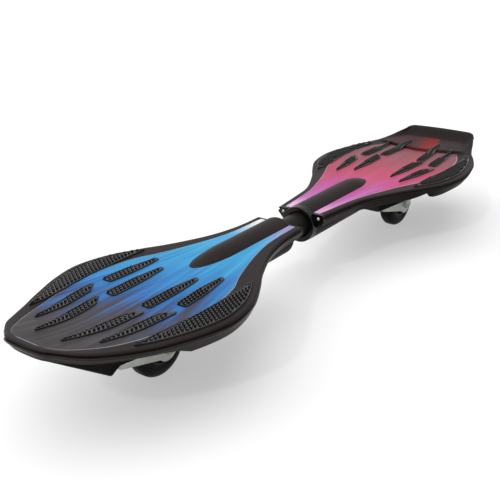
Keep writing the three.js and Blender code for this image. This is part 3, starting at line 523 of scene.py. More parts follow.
def mend(piece, caps=False):
    """Merges a seam, closes the ends where asked, and turns the faces outwards."""
    only(piece)
    bpy.ops.object.mode_set(mode="EDIT")
    bpy.ops.mesh.select_all(action="SELECT")
    bpy.ops.mesh.remove_doubles(threshold=MERGE_DISTANCE)
    if caps:
        bpy.ops.mesh.select_all(action="DESELECT")
        bpy.ops.mesh.select_non_manifold()
        bpy.ops.mesh.fill_holes(sides=0)
        bpy.ops.mesh.select_all(action="SELECT")
    bpy.ops.mesh.normals_make_consistent(inside=False)
    bpy.ops.object.mode_set(mode="OBJECT")
    return piece


def skin(name, rows, second=None):
    """A closed skin from a grid whose rows of points run round the piece and end where they start.

    Faces for which second(row, column) is true take the piece's second finish.
    """
    rows = np.asarray(rows, float)
    clear_selection()
    across = rows.shape[1] - 1
    bpy.ops.mesh.primitive_grid_add(x_subdivisions=across, y_subdivisions=rows.shape[0] - 1)
    piece = shaped(bpy.context.object, name, rows)
    if second:
        for face in piece.data.polygons:
            face.material_index = int(second(*divmod(face.index, across)))
    return mend(piece, caps=True)


def rounded(profile, radius, steps):
    """An open profile with its corners rounded."""
    p = np.array(profile, float)
    points = [p[0]]
    for before, corner, after in zip(p, p[1:], p[2:]):
        a, b = before - corner, after - corner
        reach = min(radius, np.linalg.norm(a) / 2, np.linalg.norm(b) / 2)
        start = corner + a / np.linalg.norm(a) * reach
        end = corner + b / np.linalg.norm(b) * reach
        for t in np.linspace(0, 1, steps + 1):
            points.append((1 - t) ** 2 * start + 2 * t * (1 - t) * corner + t * t * end)
    points.append(p[-1])
    return np.array(points)


def turned(name, profile, centre, axis, steps=TURN_STEPS, ring=False):
    """A piece spun about an axis from (radius, place) points; a ring's profile is closed."""
    centre, axis = Vector(centre), Vector(axis).normalized()
    radial = axis.orthogonal().normalized()
    clear_selection()
    bpy.ops.mesh.primitive_circle_add(vertices=len(profile), fill_type="NOTHING")
    points = [centre + radial * float(radius) + axis * float(place) for radius, place in profile]
    piece = shaped(bpy.context.object, name, points)
    if ring:
        bpy.ops.object.mode_set(mode="EDIT")
    else:
        for edge in piece.data.edges:
            edge.select = set(edge.vertices) == {0, len(profile) - 1}
        for vertex in piece.data.vertices:
            vertex.select = False
        bpy.ops.object.mode_set(mode="EDIT")
        bpy.context.tool_settings.mesh_select_mode = (False, True, False)
        bpy.ops.mesh.delete(type="EDGE_FACE")
    bpy.context.tool_settings.mesh_select_mode = (True, False, False)
    bpy.ops.mesh.select_all(action="SELECT")
    bpy.ops.mesh.spin(steps=steps, angle=2 * math.pi, center=centre, axis=axis, use_auto_merge=True)
    bpy.ops.object.mode_set(mode="OBJECT")
    return mend(piece)


def rod(name, radius, start, end, steps=SMALL_TURN_STEPS, edge=0.0):
    """A round bar between two places, with its ends' edges rounded where asked."""
    start, end = Vector(start), Vector(end)
    length = (end - start).length
    profile = [(0, 0), (radius, 0), (radius, length), (0, length)]
    if edge:
        profile = rounded(profile, edge, 3)
    return turned(name, profile, start, end - start, steps)


def tube(name, inner, outer, start, end, steps=TURN_STEPS, edge=0.0):
    """A round pipe between two places, with its edges rounded where asked."""
    start, end = Vector(start), Vector(end)
    length, middle = (end - start).length, (inner + outer) / 2
    profile = [(middle, 0), (outer, 0), (outer, length), (inner, length), (inner, 0), (middle, 0)]
    if edge:
        profile = rounded(profile, edge, 3)
    return turned(name, profile[:-1], start, end - start, steps, ring=True)


def plate(name, points, thickness, place, along, up):
    """A flat plate with an outline of (along, up) points, thick both ways from its middle plane."""
    along, up, place = Vector(along), Vector(up), Vector(place)
    normal = along.cross(up).normalized()
    clear_selection()
    bpy.ops.mesh.primitive_circle_add(vertices=len(points), fill_type="NGON")
    low = [place + along * float(a) + up * float(b) - normal * thickness / 2 for a, b in points]
    piece = shaped(bpy.context.object, name, low)
    bpy.ops.object.mode_set(mode="EDIT")
    bpy.ops.mesh.select_all(action="SELECT")
    bpy.ops.mesh.extrude_region_move(TRANSFORM_OT_translate={"value": normal * thickness})
    bpy.ops.object.mode_set(mode="OBJECT")
    return mend(piece)


def block(name, low, high):
    """A box between two corners, used to cut or to stiffen."""
    clear_selection()
    bpy.ops.mesh.primitive_cube_add(size=1)
    piece = bpy.context.object
    corners = [[(low, high)[vertex.co[axis] > 0][axis] for axis in range(3)]
               for vertex in piece.data.vertices]
    return shaped(piece, name, corners)


def apply_modifier(piece, kind, **values):
    only(piece)
    modifier = piece.modifiers.new(kind.title(), kind)
    for key, value in values.items():
        setattr(modifier, key, value)
    if "FINISHED" not in bpy.ops.object.modifier_apply(modifier=modifier.name):
        raise RuntimeError(f"{piece.name}: {kind} can't be applied")


def soften(piece, width, segments=2, angle=30):
    """Rounds the edges sharper than the angle, in degrees."""
    apply_modifier(piece, "BEVEL", width=width, segments=segments, limit_method="ANGLE",
                   angle_limit=math.radians(angle), harden_normals=False)


def combine(piece, tool, operation):
    """Joins a tool to the piece or cuts the piece with it, and removes the tool."""
    before = len(piece.data.vertices)
    apply_modifier(piece, "BOOLEAN", object=tool, operation=operation, solver="MANIFOLD")
    if len(piece.data.vertices) in (0, before):
        raise RuntimeError(f"{piece.name}: {tool.name} changed nothing")
    bpy.data.objects.remove(tool)
    return piece


def add(piece, *tools):
    for tool in tools:
        combine(piece, tool, "UNION")
    return piece


def cut(piece, *tools):
    for tool in tools:
        combine(piece, tool, "DIFFERENCE")
    return piece


def joined(name, pieces):
    """Several closed bodies as one piece."""
    clear_selection()
    for piece in pieces:
        piece.select_set(True)
    bpy.context.view_layer.objects.active = pieces[0]
    if len(pieces) > 1:
        bpy.ops.object.join()
    pieces[0].name = name
    return pieces[0]


def closed_rows(rows):
    """Rows that each end where they start."""
    return [row + row[:1] for row in rows]


def finish_piece(piece, body, slot, *replaced, finishes=None, angle=SMOOTH_ANGLE, weighted=False):
    """Smooths and finishes the piece, says what it rides on, and hides the nodes that it stands
    for.

    Its finish is its slot's own, unless the names of others are given.
    """
    only(piece)
    bpy.ops.object.shade_smooth_by_angle(angle=angle)
    if weighted:
        apply_modifier(piece, "WEIGHTED_NORMAL", keep_sharp=True, weight=80)
    indexes = [face.material_index for face in piece.data.polygons]
    piece.data.materials.clear()
    names = finishes or (slot,)
    for name in names:
        piece.data.materials.append(finish_named(name))
    last = len(names) - 1
    piece.data.polygons.foreach_set("material_index", [min(i, last) for i in indexes])
    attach(piece, body)
    if replaced:
        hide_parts(*replaced)


def refined(node, width):
    """A copy of a frame node with its triangles merged, its flats whole and its edges rounded."""
    source = frame["nodes"][node]
    piece = source.copy()
    piece.data = source.data.copy()
    bpy.context.collection.objects.link(piece)
    piece.parent = None
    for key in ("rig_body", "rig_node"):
        if key in piece:
            del piece[key]
    piece.hide_render = piece.hide_viewport = False
    piece.name = node + "_fine"
    piece.data.materials.clear()
    only(piece)
    bpy.ops.object.mode_set(mode="EDIT")
    bpy.ops.mesh.select_all(action="SELECT")
    bpy.ops.mesh.remove_doubles(threshold=1e-5)
    bpy.ops.mesh.dissolve_limited(angle_limit=math.radians(1))
    bpy.ops.object.mode_set(mode="OBJECT")
    if width:
        soften(piece, width)
    return piece


# Materials

class Recipe:
    """The nodes of a material or the surroundings; most methods add some and return an output."""

    def __init__(self, owner, shader="Principled BSDF"):
        owner.use_nodes = True
        self.owner, self.tree = owner, owner.node_tree
        self.shader = self.tree.nodes[shader]
        self.coordinates = None

    @property
    def place(self):
        """Object coordinates."""
        if not self.coordinates:
            self.coordinates = self.node("ShaderNodeTexCoord")
        return self.coordinates.outputs["Object"]

    def node(self, kind, **values):
        node = self.tree.nodes.new(kind)
        for key, value in values.items():
            setattr(node, key, value)
        return node

    def feed(self, socket, value):
        """Links an output, or sets a number or a colour of three numbers."""
        if isinstance(value, bpy.types.NodeSocket):
            self.tree.links.new(value, socket)
        else:
            socket.default_value = (*value, 1) if socket.type == "RGBA" else value

    def sum(self, operation, first, second=0.0, clamp=False):
        node = self.node("ShaderNodeMath", operation=operation, use_clamp=clamp)
        for socket, value in zip(node.inputs, (first, second)):
            self.feed(socket, value)
        return node.outputs[0]

    def split(self, vector):
        node = self.node("ShaderNodeSeparateXYZ")
        self.feed(node.inputs[0], vector)
        return node.outputs[:]

    def join(self, x, y, z):
        node = self.node("ShaderNodeCombineXYZ")
        for socket, value in zip(node.inputs, (x, y, z)):
            self.feed(socket, value)
        return node.outputs[0]

    def noise(self, scale, detail, roughness, place=None):
        node = self.node("ShaderNodeTexNoise")
        for key, value in (("Scale", scale), ("Detail", detail), ("Roughness", roughness)):
            self.feed(node.inputs[key], value)
        self.feed(node.inputs["Vector"], place or self.place)
        return node.outputs["Fac"]

    def stretched(self, x, y, z):
        """Object coordinates scaled on each axis."""
        node = self.node("ShaderNodeMapping")
        self.feed(node.inputs["Vector"], self.place)
        self.feed(node.inputs["Scale"], (x, y, z))
        return node.outputs[0]

    def range(self, value, low, high, to_low=0.0, to_high=1.0, soft=False):
        kind = "SMOOTHSTEP" if soft else "LINEAR"
        node = self.node("ShaderNodeMapRange", interpolation_type=kind)
        for socket, number in zip(node.inputs, (value, low, high, to_low, to_high)):
            self.feed(socket, number)
        return node.outputs[0]

    def ramp(self, value, stops):
        """A ramp through stops of (position, web colour)."""
        node = self.node("ShaderNodeValToRGB")
        elements = node.color_ramp.elements
        while len(elements) < len(stops):
            elements.new(0.5)
        for element, (position, code) in zip(elements, stops):
            element.position = position
            element.color = (*light_of(code), 1)
        self.feed(node.inputs[0], value)
        return node.outputs[0]

    def mix(self, share, first, second, blend="MIX"):
        node = self.node("ShaderNodeMix", data_type="RGBA", blend_type=blend)
        for place, value in ((0, share), (6, first), (7, second)):
            self.feed(node.inputs[place], value)
        return node.outputs[2]

    def bump(self, height, distance):
        node = self.node("ShaderNodeBump")
        self.feed(node.inputs["Distance"], distance)
        self.feed(node.inputs["Height"], height)
        return node.outputs[0]

    def seen(self):
        """Whether a ray comes from the camera, directly, by a mirror or through glass."""
        rays = self.node("ShaderNodeLightPath").outputs
        seen = rays["Is Camera Ray"]
        for ray in ("Is Glossy Ray", "Is Transmission Ray"):
            seen = self.sum("MAXIMUM", seen, rays[ray])
        return seen

    def surface(self, **inputs):
        """Feeds the shader's inputs, named with _ for a space."""
        for key, value in inputs.items():
            self.feed(self.shader.inputs[key.replace("_", " ")], value)
        return self.owner


def recipe_named(name):
    return Recipe(bpy.data.materials.new(name))


def moulded_plastic(name, colour, roughness, grain_depth, specular):
    """Moulded plastic: a fine grain, cloudy tone and gloss, faint dust, and painted shade at the
    tail.
    """
    recipe = recipe_named(name)
    clouds = recipe.noise(14, 3, 0.55)
    speckle = recipe.noise(900, 2, 0.6)
    x = recipe.split(recipe.place)[0]
    # Painted shade: the tone is darkened towards the tail, as if less light fell there.
    painted_shade_to_tail = recipe.range(x, TAIL_X - 0.12, TAIL_X - 0.03, 0, 0.5, soft=True)
    dust = recipe.range(speckle, 0.62, 0.8, 0, 0.25)
    tone = recipe.mix(recipe.range(clouds, 0.3, 0.7), scaled(colour, 0.86), scaled(colour, 1.16))
    tone = recipe.mix(painted_shade_to_tail, tone, scaled(colour, 0.2))
    tone = recipe.mix(dust, tone, scaled(colour, 1.7))
    rough = recipe.sum("ADD", recipe.range(clouds, 0.3, 0.7, roughness - 0.05, roughness + 0.05),
                       recipe.range(speckle, 0.3, 0.7, -0.04, 0.04))
    grain = recipe.bump(recipe.noise(1500, 3, 0.65), grain_depth)
    return recipe.surface(Base_Color=tone, Roughness=rough, Normal=grain,
                          Specular_IOR_Level=specular)


def plated_steel(name, colour, roughness):
    """Zinc-plated sheet: metallic, with cloudy plating and fine rolling lines."""
    recipe = recipe_named(name)
    clouds = recipe.noise(45, 4, 0.6)
    lines = recipe.noise(60, 2, 0.5, recipe.stretched(1.5, 40, 40))
    tone = recipe.mix(recipe.range(clouds, 0.3, 0.7), scaled(colour, 0.82), scaled(colour, 1.12))
    rough = recipe.sum("ADD", recipe.range(clouds, 0.25, 0.75, roughness - 0.07, roughness + 0.07),
                       recipe.range(lines, 0.3, 0.7, -0.05, 0.05))
    rolled = recipe.bump(lines, 0.00004)
    return recipe.surface(Base_Color=tone, Roughness=rough, Normal=rolled, Metallic=0.3)


def grip_rubber(name, colour):
    """Moulded rubber with a satin sheen."""
    recipe = recipe_named(name)
    clouds = recipe.noise(40, 3, 0.6)
    tone = recipe.mix(recipe.range(clouds, 0.3, 0.7), scaled(colour, 0.8), scaled(colour, 1.3))
    rough = recipe.range(clouds, 0.25, 0.75, 0.2, 0.3)
    fine = recipe.bump(recipe.noise(1200, 3, 0.6), 0.00003)
    return recipe.surface(Base_Color=tone, Roughness=rough, Normal=fine, Specular_IOR_Level=0.5)


def cast_tyre(name, colour):
    """Cast polyurethane: nearly smooth, with scuffs round the tread."""
    recipe = recipe_named(name)
    clouds = recipe.noise(60, 4, 0.6)
    scuffs = recipe.noise(220, 4, 0.7, recipe.stretched(1, 0.25, 1))
    tone = recipe.mix(recipe.range(scuffs, 0.5, 0.75, 0, 0.6), colour, scaled(colour, 2.0))
    rough = recipe.range(clouds, 0.3, 0.7, 0.42, 0.56)
    worn = recipe.bump(scuffs, 0.00008)
    return recipe.surface(Base_Color=tone, Roughness=rough, Normal=worn, Specular_IOR_Level=0.1)


def film_print(name, start_x, length, apex_x, stops, tips, lean, tail_dark=None):
    """A printed film: colours run along the board in streaks that spread from the neck.

    The tips say over which span the colour at the neck comes in, and that colour on the near
    side and on the far side. The lean moves the colours along towards one side.
    """
    recipe = recipe_named(name)
    x, y = recipe.split(recipe.place)[:2]
    fan = recipe.sum("DIVIDE", y, recipe.sum("SUBTRACT", x, apex_x))
    along = recipe.sum("DIVIDE", recipe.sum("SUBTRACT", x, start_x), length)

    def streaks(detail, roughness, across, lengthwise, layer):
        place = (recipe.sum("MULTIPLY", fan, across), recipe.sum("MULTIPLY", x, lengthwise), layer)
        return recipe.noise(1, detail, roughness, recipe.join(*place))

    broad = streaks(2, 0.55, 16, 5, 0)
    fine = streaks(3, 0.6, 75, 9, 4)
    shift = recipe.sum("ADD", recipe.range(broad, 0.25, 0.75, -0.17, 0.13),
                       recipe.range(fine, 0.3, 0.7, -0.07, 0.06))
    leaning = recipe.sum("MULTIPLY", y, lean / HALF_WIDTH)
    place = recipe.sum("ADD", recipe.sum("ADD", along, shift), leaning, clamp=True)
    span, near, far = tips
    tip = recipe.mix(recipe.range(y, -0.004, 0.004), light_of(near), light_of(far))
    tip_share = recipe.sum("MULTIPLY", recipe.range(along, *span, soft=True),
                           recipe.range(fine, 0.3, 0.6, 0.7, 1))
    colour = recipe.mix(tip_share, recipe.ramp(place, stops), tip)
    sheen = recipe.range(fine, 0.35, 0.7, 0.82, 1.14)
    colour = recipe.mix(1.0, colour, recipe.join(sheen, sheen, sheen), "MULTIPLY")
    if tail_dark:
        beside = recipe.range(recipe.sum("ABSOLUTE", y), 0.02, 0.07)
        dark = recipe.sum("MULTIPLY", recipe.range(along, 0.6, 1.0, 0, 0.6), beside)
        colour = recipe.mix(dark, colour, light_of(tail_dark))
    rough = recipe.range(recipe.noise(30, 3, 0.6), 0.3, 0.7, 0.3, 0.42)
    peel = recipe.bump(recipe.noise(260, 2, 0.5), 0.00003)
    return recipe.surface(Base_Color=colour, Roughness=rough, Normal=peel, Specular_IOR_Level=0.05)


def tray_print(name):
    """The tray's dark print: red on the riser, and on the ledge a glow with a sharp edge."""
    recipe = recipe_named(name)
    x, y, z = recipe.split(recipe.place)
    clouds = recipe.noise(18, 3, 0.55)
    base = recipe.mix(recipe.range(y, -0.02, 0.06), light_of("#332a2c"), light_of("#4c2a30"))
    slant = recipe.sum("MULTIPLY", recipe.sum("SUBTRACT", TAIL_X - 0.03, x), 0.27)
    beside = recipe.sum("ADD", y, slant)
    glow = recipe.range(beside, 0.03, -0.004, 0, 0.9, soft=True)
    sharp = recipe.range(beside, -0.012, -0.009)
    ledge = recipe.mix(recipe.sum("MULTIPLY", glow, sharp), base, light_of("#8c2422"))
    up = recipe.range(z, TOP_Z + 0.4 * LEDGE_HEIGHT, TOP_Z + 0.9 * LEDGE_HEIGHT)
    to_side = recipe.range(recipe.sum("ABSOLUTE", y), 0.024, 0.04, soft=True)
    riser = recipe.mix(to_side, light_of("#660b0b"), light_of("#241112"))
    dust = recipe.range(clouds, 0.3, 0.7, 0, 0.25)
    tone = recipe.mix(dust, recipe.mix(up, riser, ledge), (0.02, 0.016, 0.016))
    rough = recipe.range(clouds, 0.3, 0.7, 0.38, 0.5)
    fine = recipe.bump(recipe.noise(900, 2, 0.5), 0.00004)
    return recipe.surface(Base_Color=tone, Roughness=rough, Normal=fine, Specular_IOR_Level=0.03)


def natural_nylon(name):
    recipe = recipe_named(name)
    clouds = recipe.noise(50, 3, 0.6)
    tone = recipe.mix(clouds, (0.62, 0.6, 0.53), (0.74, 0.72, 0.66))
    rough = recipe.range(clouds, 0.3, 0.7, 0.4, 0.55)
    fine = recipe.bump(recipe.noise(900, 2, 0.5), 0.00005)
    return recipe.surface(Base_Color=tone, Roughness=rough, Normal=fine)


def studio_floor(name):
    """A floor that reads white to the camera, still takes the shadow, and is clear from below."""
    kit = settings()
    recipe = recipe_named(name)
    seen = recipe.seen()
    pale = [(FLOOR_TONE + step,) * 3 for step in (-0.01, 0.01)]
    patches = recipe.mix(recipe.noise(0.4, 1, 0.4), *pale)
    tone = recipe.mix(seen, (kit.floor_bounce,) * 3, patches)
    glow = recipe.sum("MULTIPLY", seen, kit.floor_glow)
    material = recipe.surface(Base_Color=tone, Roughness=0.9, Specular_IOR_Level=0.0,
                              Emission_Color=(1, 1, 1), Emission_Strength=glow)
    layers = recipe.node("ShaderNodeMixShader")
    below = recipe.node("ShaderNodeNewGeometry").outputs["Backfacing"]
    clear = recipe.node("ShaderNodeBsdfTransparent").outputs[0]
    for socket, value in zip(layers.inputs, (below, recipe.shader.outputs[0], clear)):
        recipe.feed(socket, value)
    recipe.feed(recipe.tree.nodes["Material Output"].inputs["Surface"], layers.outputs[0])
    return material


def front_print(name):
    stops = ((0.0, "#3f3a3c"), (0.12, "#4a4548"), (0.2, "#4c4a56"), (0.27, "#425a88"),
             (0.35, "#3872b2"), (0.47, "#3b89c8"), (0.68, "#42a2d4"), (1.0, "#66b4e0"))
    return film_print(name, NOSE_X, FRONT_LENGTH, FRONT_NECK_X + 0.09, stops,
                      ((0.82, 0.98), "#a891c8", "#f6f2f2"), 0.1)


def rear_print(name):
    stops = ((0.0, "#d48fc9"), (0.14, "#c06fb4"), (0.26, "#c0589f"), (0.38, "#c45082"),
             (0.54, "#ba4a65"), (0.74, "#95525c"), (1.0, "#794d55"))
    return film_print(name, REAR_NECK_X, REAR_LENGTH * 0.85, REAR_NECK_X - 0.09, stops,
                      ((0.14, 0.02), "#e9a6d8", "#f0c2e6"), 0.12, "#74525a")


MATERIALS = {}


def make_finish(name):
    """A new material, from its maker and the values that the maker takes after the name."""
    kit = settings()
    maker, *values = {
        "deck_plastic": (moulded_plastic, kit.moulding_colour, 0.42, 0.00009, 0.035),
        "deck_bead": (moulded_plastic, kit.moulding_colour, 0.24, 0.00003, 0.12),
        "cap_plastic": (moulded_plastic, kit.cap_colour, 0.2, 0.00003, 0.22),
        "hub_plastic": (moulded_plastic, (0.03, 0.03, 0.031), 0.45, 0.00006, 0.3),
        "black_steel": (moulded_plastic, kit.tube_colour, 0.36, 0.00005, 0.08),
        # The pale lines along the films' edges: painted highlights where light catches the edge.
        "front_trim": (moulded_plastic, light_of("#7e8794"), 0.35, 0.00003, 0.2),
        "rear_trim": (moulded_plastic, light_of("#b48a9c"), 0.35, 0.00003, 0.2),
        "zinc_steel": (plated_steel, kit.steel_colour, 0.42),
        "screw_steel": (plated_steel, (0.62, 0.62, 0.6), 0.3),
        "grip_rubber": (grip_rubber, kit.grip_colour),
        "tyre_pu": (cast_tyre, kit.tyre_colour),
        "bush_plastic": (natural_nylon,),
        "front_film": (front_print,),
        "rear_film": (rear_print,),
        "tray_print": (tray_print,),
    }[name]
    return maker(name, *values)


def finish_named(name):
    """The material of that name, made the first time it is asked for."""
    if name not in MATERIALS:
        MATERIALS[name] = make_finish(name)
    return MATERIALS[name]


# Footboards

def rim_levels():
    """The rim's lip, groove and bead as (draw, drop), rounded."""
    return [tuple(level) for level in rounded(RIM_PROFILE, RIM_ROUND, 3)]


def wall_draw(drop):
    """How far the skirt's outside is drawn in at a drop below the rim."""
    start = RIM_PROFILE[-1][0]
    return start + (SKIRT_DRAW - start) * (drop - RIM_DROP) / (SKIRT_DEPTH - RIM_DROP)


def cavity_draw(drop):
    """How far the skirt's inside is drawn in at a drop below the rim."""
    share = (drop - TOP_PLATE) / (SKIRT_DEPTH - TOP_PLATE)
    return CAVITY_DRAW[0] + share * (CAVITY_DRAW[1] - CAVITY_DRAW[0])


class Shell:
    """A hollow footboard round an outline. Its levels draw in towards its neck."""

    def __init__(self, line, start_x, neck_x, length, top, rim, skirt, hollow, across):
        self.line, self.neck_x, self.length = line, neck_x, length
        self.top, self.rim, self.across = top, rim, across
        shares, depths = np.array(skirt).T
        self.skirt = start_x + shares * length, depths * SKIRT_DEPTH
        self.open_x = [start_x + share * length for share in hollow]
        self.levels = rim_levels()

    def depth(self, x):
        return float(np.interp(x, *self.skirt))

    def row(self, x, w):
        """A row of points over the top, down one side, under the plate and up the other side."""
        hollow = self.open_x[0] < x < self.open_x[1]
        depth = self.depth(x)
        plate_drop = TOP_PLATE if hollow else depth

        def at(draw):
            level_x = self.neck_x + (x - self.neck_x) * (1 - draw / self.length)
            return level_x, w - draw * min(1.0, w / FULL_DRAW_WIDTH)

        def corner(sign, draw, drop):
            level_x, level_y = at(draw)
            return (level_x, sign * level_y, float(self.rim(level_x, sign * level_y)) - drop)

        side = list(self.levels)
        for share in WALL_SHARES:
            drop = RIM_DROP + share * (depth - EDGE_ROUND - RIM_DROP)
            side.append((wall_draw(drop), drop))
        bend = BEND_SHARE * EDGE_ROUND
        side += [(wall_draw(depth) + bend, depth - bend), (wall_draw(depth) + EDGE_ROUND, depth),
                 (cavity_draw(depth) - EDGE_ROUND, depth),
                 (cavity_draw(depth) - bend, depth - bend if hollow else depth)]
        for drop in (depth - EDGE_ROUND, plate_drop + CAVITY_ROUND):
            drop = drop if hollow else depth
            side.append((cavity_draw(drop), drop))
        bend = BEND_SHARE * CAVITY_ROUND
        inner = cavity_draw(plate_drop)
        side += [(inner + bend, plate_drop + (bend if hollow else 0)),
                 (inner + CAVITY_ROUND, plate_drop)]

        edge_x, edge_y = at(RIM_DRAW)
        ys = np.linspace(-1, 1, self.across)[1:-1] * edge_y
        over = [(edge_x, y, z) for y, z in zip(ys, self.top(np.full_like(ys, edge_x), ys))]
        under_x, under_y = at(side[-1][0])
        under_z = float(self.rim(under_x, under_y)) - plate_drop
        under_ys = np.linspace(1, -1, UNDER_POINTS + 2)[1:-1] * under_y
        return [*over, *(corner(1, *level) for level in side),
                *((under_x, y, under_z) for y in under_ys),
                *(corner(-1, *level) for level in reversed(side))]

    def moulding(self, name):
        """The shell, with extra rows where its skirt bends and beside the ends of its hollow."""
        xs, widths = self.line
        inside = xs[(xs > xs[0]) & (xs < xs[-1])]
        extra = [x + side for x in self.open_x for side in (-HOLLOW_STEP, HOLLOW_STEP)]
        extra += [x for x in self.skirt[0] if xs[0] < x < xs[-1]]
        stations = list(zip(xs, widths))
        for x in extra:
            clear = xs[0] + STATION_MARGIN < x < xs.max() - STATION_MARGIN
            if clear and np.min(np.abs(inside - x)) > STATION_GAP:
                stations.append((x, np.interp(x, *monotone(self.line))))
        rows = closed_rows([self.row(x, w) for x, w in sorted(stations)])

        # The glossy bead under the rim, on one side and on the other
        start = self.across - 2
        drops = np.array(self.levels)[:, 1]
        first, last = (start + int(np.argmin(np.abs(drops - drop))) for drop in BEAD_DROPS)
        far = len(rows[0]) - 1 - UNDER_POINTS + 2 * start - 2

        def on_bead(row, column):
            return first <= column < last or first <= far - column < last
        return skin(name, rows, second=on_bead)

    def ribs(self, from_x, to_x):
        """Cross ribs at a pitch, and long ribs where they stand clear of the skirt's inside."""
        xs, widths = monotone(self.line)
        half, high = RIB_THICKNESS / 2, TOP_Z - RIB_TOP_DROP

        def low(*places):
            return TOP_Z - min(RIB_DEPTH, min(self.depth(x) for x in places) - RIB_ABOVE_SKIRT)

        cross, x = [], from_x
        while x <= to_x:
            w = float(np.interp(x, xs, widths)) - RIB_INSET
            cross.append(block("rib", (x - half, -w, low(x)), (x + half, w, high)))
            x += RIB_PITCH
        clear = xs[widths > LONG_RIB_Y + half + CAVITY_DRAW[1]]
        start, end = clear[0], clear[-1]
        lengthwise = [block("long_rib", (start, y - half, low(*clear)), (end, y + half, high))
                      for y in (-LONG_RIB_Y, LONG_RIB_Y)]
        return joined("cross_ribs", cross), joined("long_ribs", lengthwise)


def on_tube(x):
    """A place on the torsion tube's axis."""
    return (x, 0, TUBE_Z)


def tunnel(name, neck_x, sizes, direction, grow=0.0, shoulder=0.0):
    """The hump over the torsion tube: a cylinder from the neck that closes in a long round nose."""
    straight, nose = sizes
    radius = TUNNEL_RADIUS + grow
    start = [(0, 0), (radius, 0), (radius, straight * 0.5)]
    if shoulder:
        start = list(rounded(start, shoulder, 6))
    turn = np.linspace(0, math.pi / 2, TUNNEL_STEPS)
    profile = start[:-1]
    profile += [(radius * math.cos(a), straight + (nose + grow) * math.sin(a)) for a in turn]
    profile[-1] = (0, profile[-1][1])
    return turned(name, profile, on_tube(neck_x), (direction, 0, 0))


def hump_room(name, neck_x, sizes, direction):
    """The room that a film leaves round the hump, from beyond the neck."""
    straight, nose = sizes
    return tunnel(name, neck_x - direction * FILM_HUMP_PAST, (straight + FILM_HUMP_PAST, nose),
                  direction, FILM_HUMP_GAP)


def housing(end):
    """The wedge under a footboard: a steep front and a mounting face square to the swivel axis."""
    place, back, axis = caster_space(end)
    hang = HOUSING_LIP_HANG[end]
    top = TOP_Z - HOUSING_TOP_DROP
    face = place - back * HOUSING_LIP
    back_x = face.x + (top - face.z) / math.tan(math.acos(axis.z))
    lip = face - axis * hang
    front_x = lip.x - HOUSING_REACH[end]
    side = [(front_x, top), (lip.x, lip.z), (back_x, top)]
    if hang:
        behind = face + back * HOUSING_LIP_RUN
        side.insert(2, (behind.x, behind.z))
    wedge = plate(f"{end}_wedge", side, 2 * HOUSING_HALF_WIDTH, MIDDLE, ALONG, UP)
    wide = HOUSING_HALF_WIDTH - HOUSING_PLAN_INSET
    half = [(front_x - HOUSING_PLAN_PAST, HOUSING_NOSE_HALF_WIDTH), (lip.x, HOUSING_LIP_HALF_WIDTH),
            (lip.x + HOUSING_LIP_LENGTH, wide), (back_x + PAST, wide)]
    plan = half + [(x, -y) for x, y in reversed(half)]
    above = plate(f"{end}_plan", plan, 4 * TOP_Z, MIDDLE, ALONG, ACROSS)
    combine(wedge, above, "INTERSECT")
    soften(wedge, HOUSING_ROUND, 3, 15)
    return wedge


def neck_rounding():
    """The cutter that rounds the front neck's underside."""
    run, drop = NECK_ROUND
    ahead, above = NECK_ROUND_GAPS
    floor, high = TUBE_Z - TUNNEL_RADIUS, TOP_Z - drop
    points = [(FRONT_NECK_X + PAST, floor - PAST), (FRONT_NECK_X + PAST, high + above),
              (FRONT_NECK_X + ahead, high + above)]
    for a in np.linspace(0, math.pi / 2, NECK_ROUND_STEPS):
        points.append((FRONT_NECK_X - run * (1 - math.cos(a)), high - (high - floor) * math.sin(a)))
    points.append((FRONT_NECK_X - run, floor - PAST))
    return plate("neck_round", points, 4 * HALF_WIDTH, MIDDLE, ALONG, UP)


def make_front_deck():
    shell = Shell(FRONT_LINE, NOSE_X, FRONT_NECK_X, FRONT_LENGTH, front_top, front_top, FRONT_SKIRT,
                  FRONT_HOLLOW, FRONT_TOP_POINTS)
    deck = shell.moulding("front_moulding")
    add(deck, *shell.ribs(NOSE_X + RIB_PITCH, FRONT_NECK_X - RIB_PITCH))
    add(deck, housing("front"),
        tunnel("front_hump", FRONT_NECK_X, FRONT_TUNNEL, -1, shoulder=TUNNEL_SHOULDER))
    bore = rod("front_bore", TUBE_RADIUS + TUBE_FIT, on_tube(TUBE_FRONT_X - TUBE_FIT),
               on_tube(FRONT_NECK_X + PAST), MEDIUM_TURN_STEPS)
    return cut(deck, bore, neck_rounding())


def make_rear_deck():
    xs, widths = REAR_LINE
    even = monotone(REAR_LINE)
    fine = np.arange(TAIL_X - TAIL_FINE_SPAN[0], TAIL_X - TAIL_FINE_SPAN[1], TAIL_FINE_STEP)
    coarse = (xs > REAR_FACE_X) & (xs < fine[0] - TAIL_FINE_GAP)
    rest = xs > fine[-1] + TAIL_FINE_GAP
    first = np.interp(REAR_FACE_X, *even)
    line = (np.concatenate([[REAR_FACE_X], xs[coarse], fine, xs[rest]]),
            np.concatenate([[first], widths[coarse], np.interp(fine, *even), widths[rest]]))
    shell = Shell(line, REAR_NECK_X, REAR_NECK_X, REAR_LENGTH, rear_top, rear_rim, REAR_SKIRT,
                  REAR_HOLLOW, REAR_TOP_POINTS)
    deck = shell.moulding("rear_moulding")
    straight, nose = REAR_TUNNEL
    add(deck, *shell.ribs(REAR_NECK_X + straight, TAIL_X - RIB_PITCH))
    add(deck, housing("rear"),
        tunnel("rear_hump", REAR_FACE_X, (straight - REAR_FACE_X + REAR_NECK_X, nose), 1))
    return cut(deck, rod("rear_bore", BORE_RADIUS, on_tube(REAR_FACE_X - PAST),
                         on_tube(TUBE_REAR_X + BORE_BEYOND_TUBE), MEDIUM_TURN_STEPS))


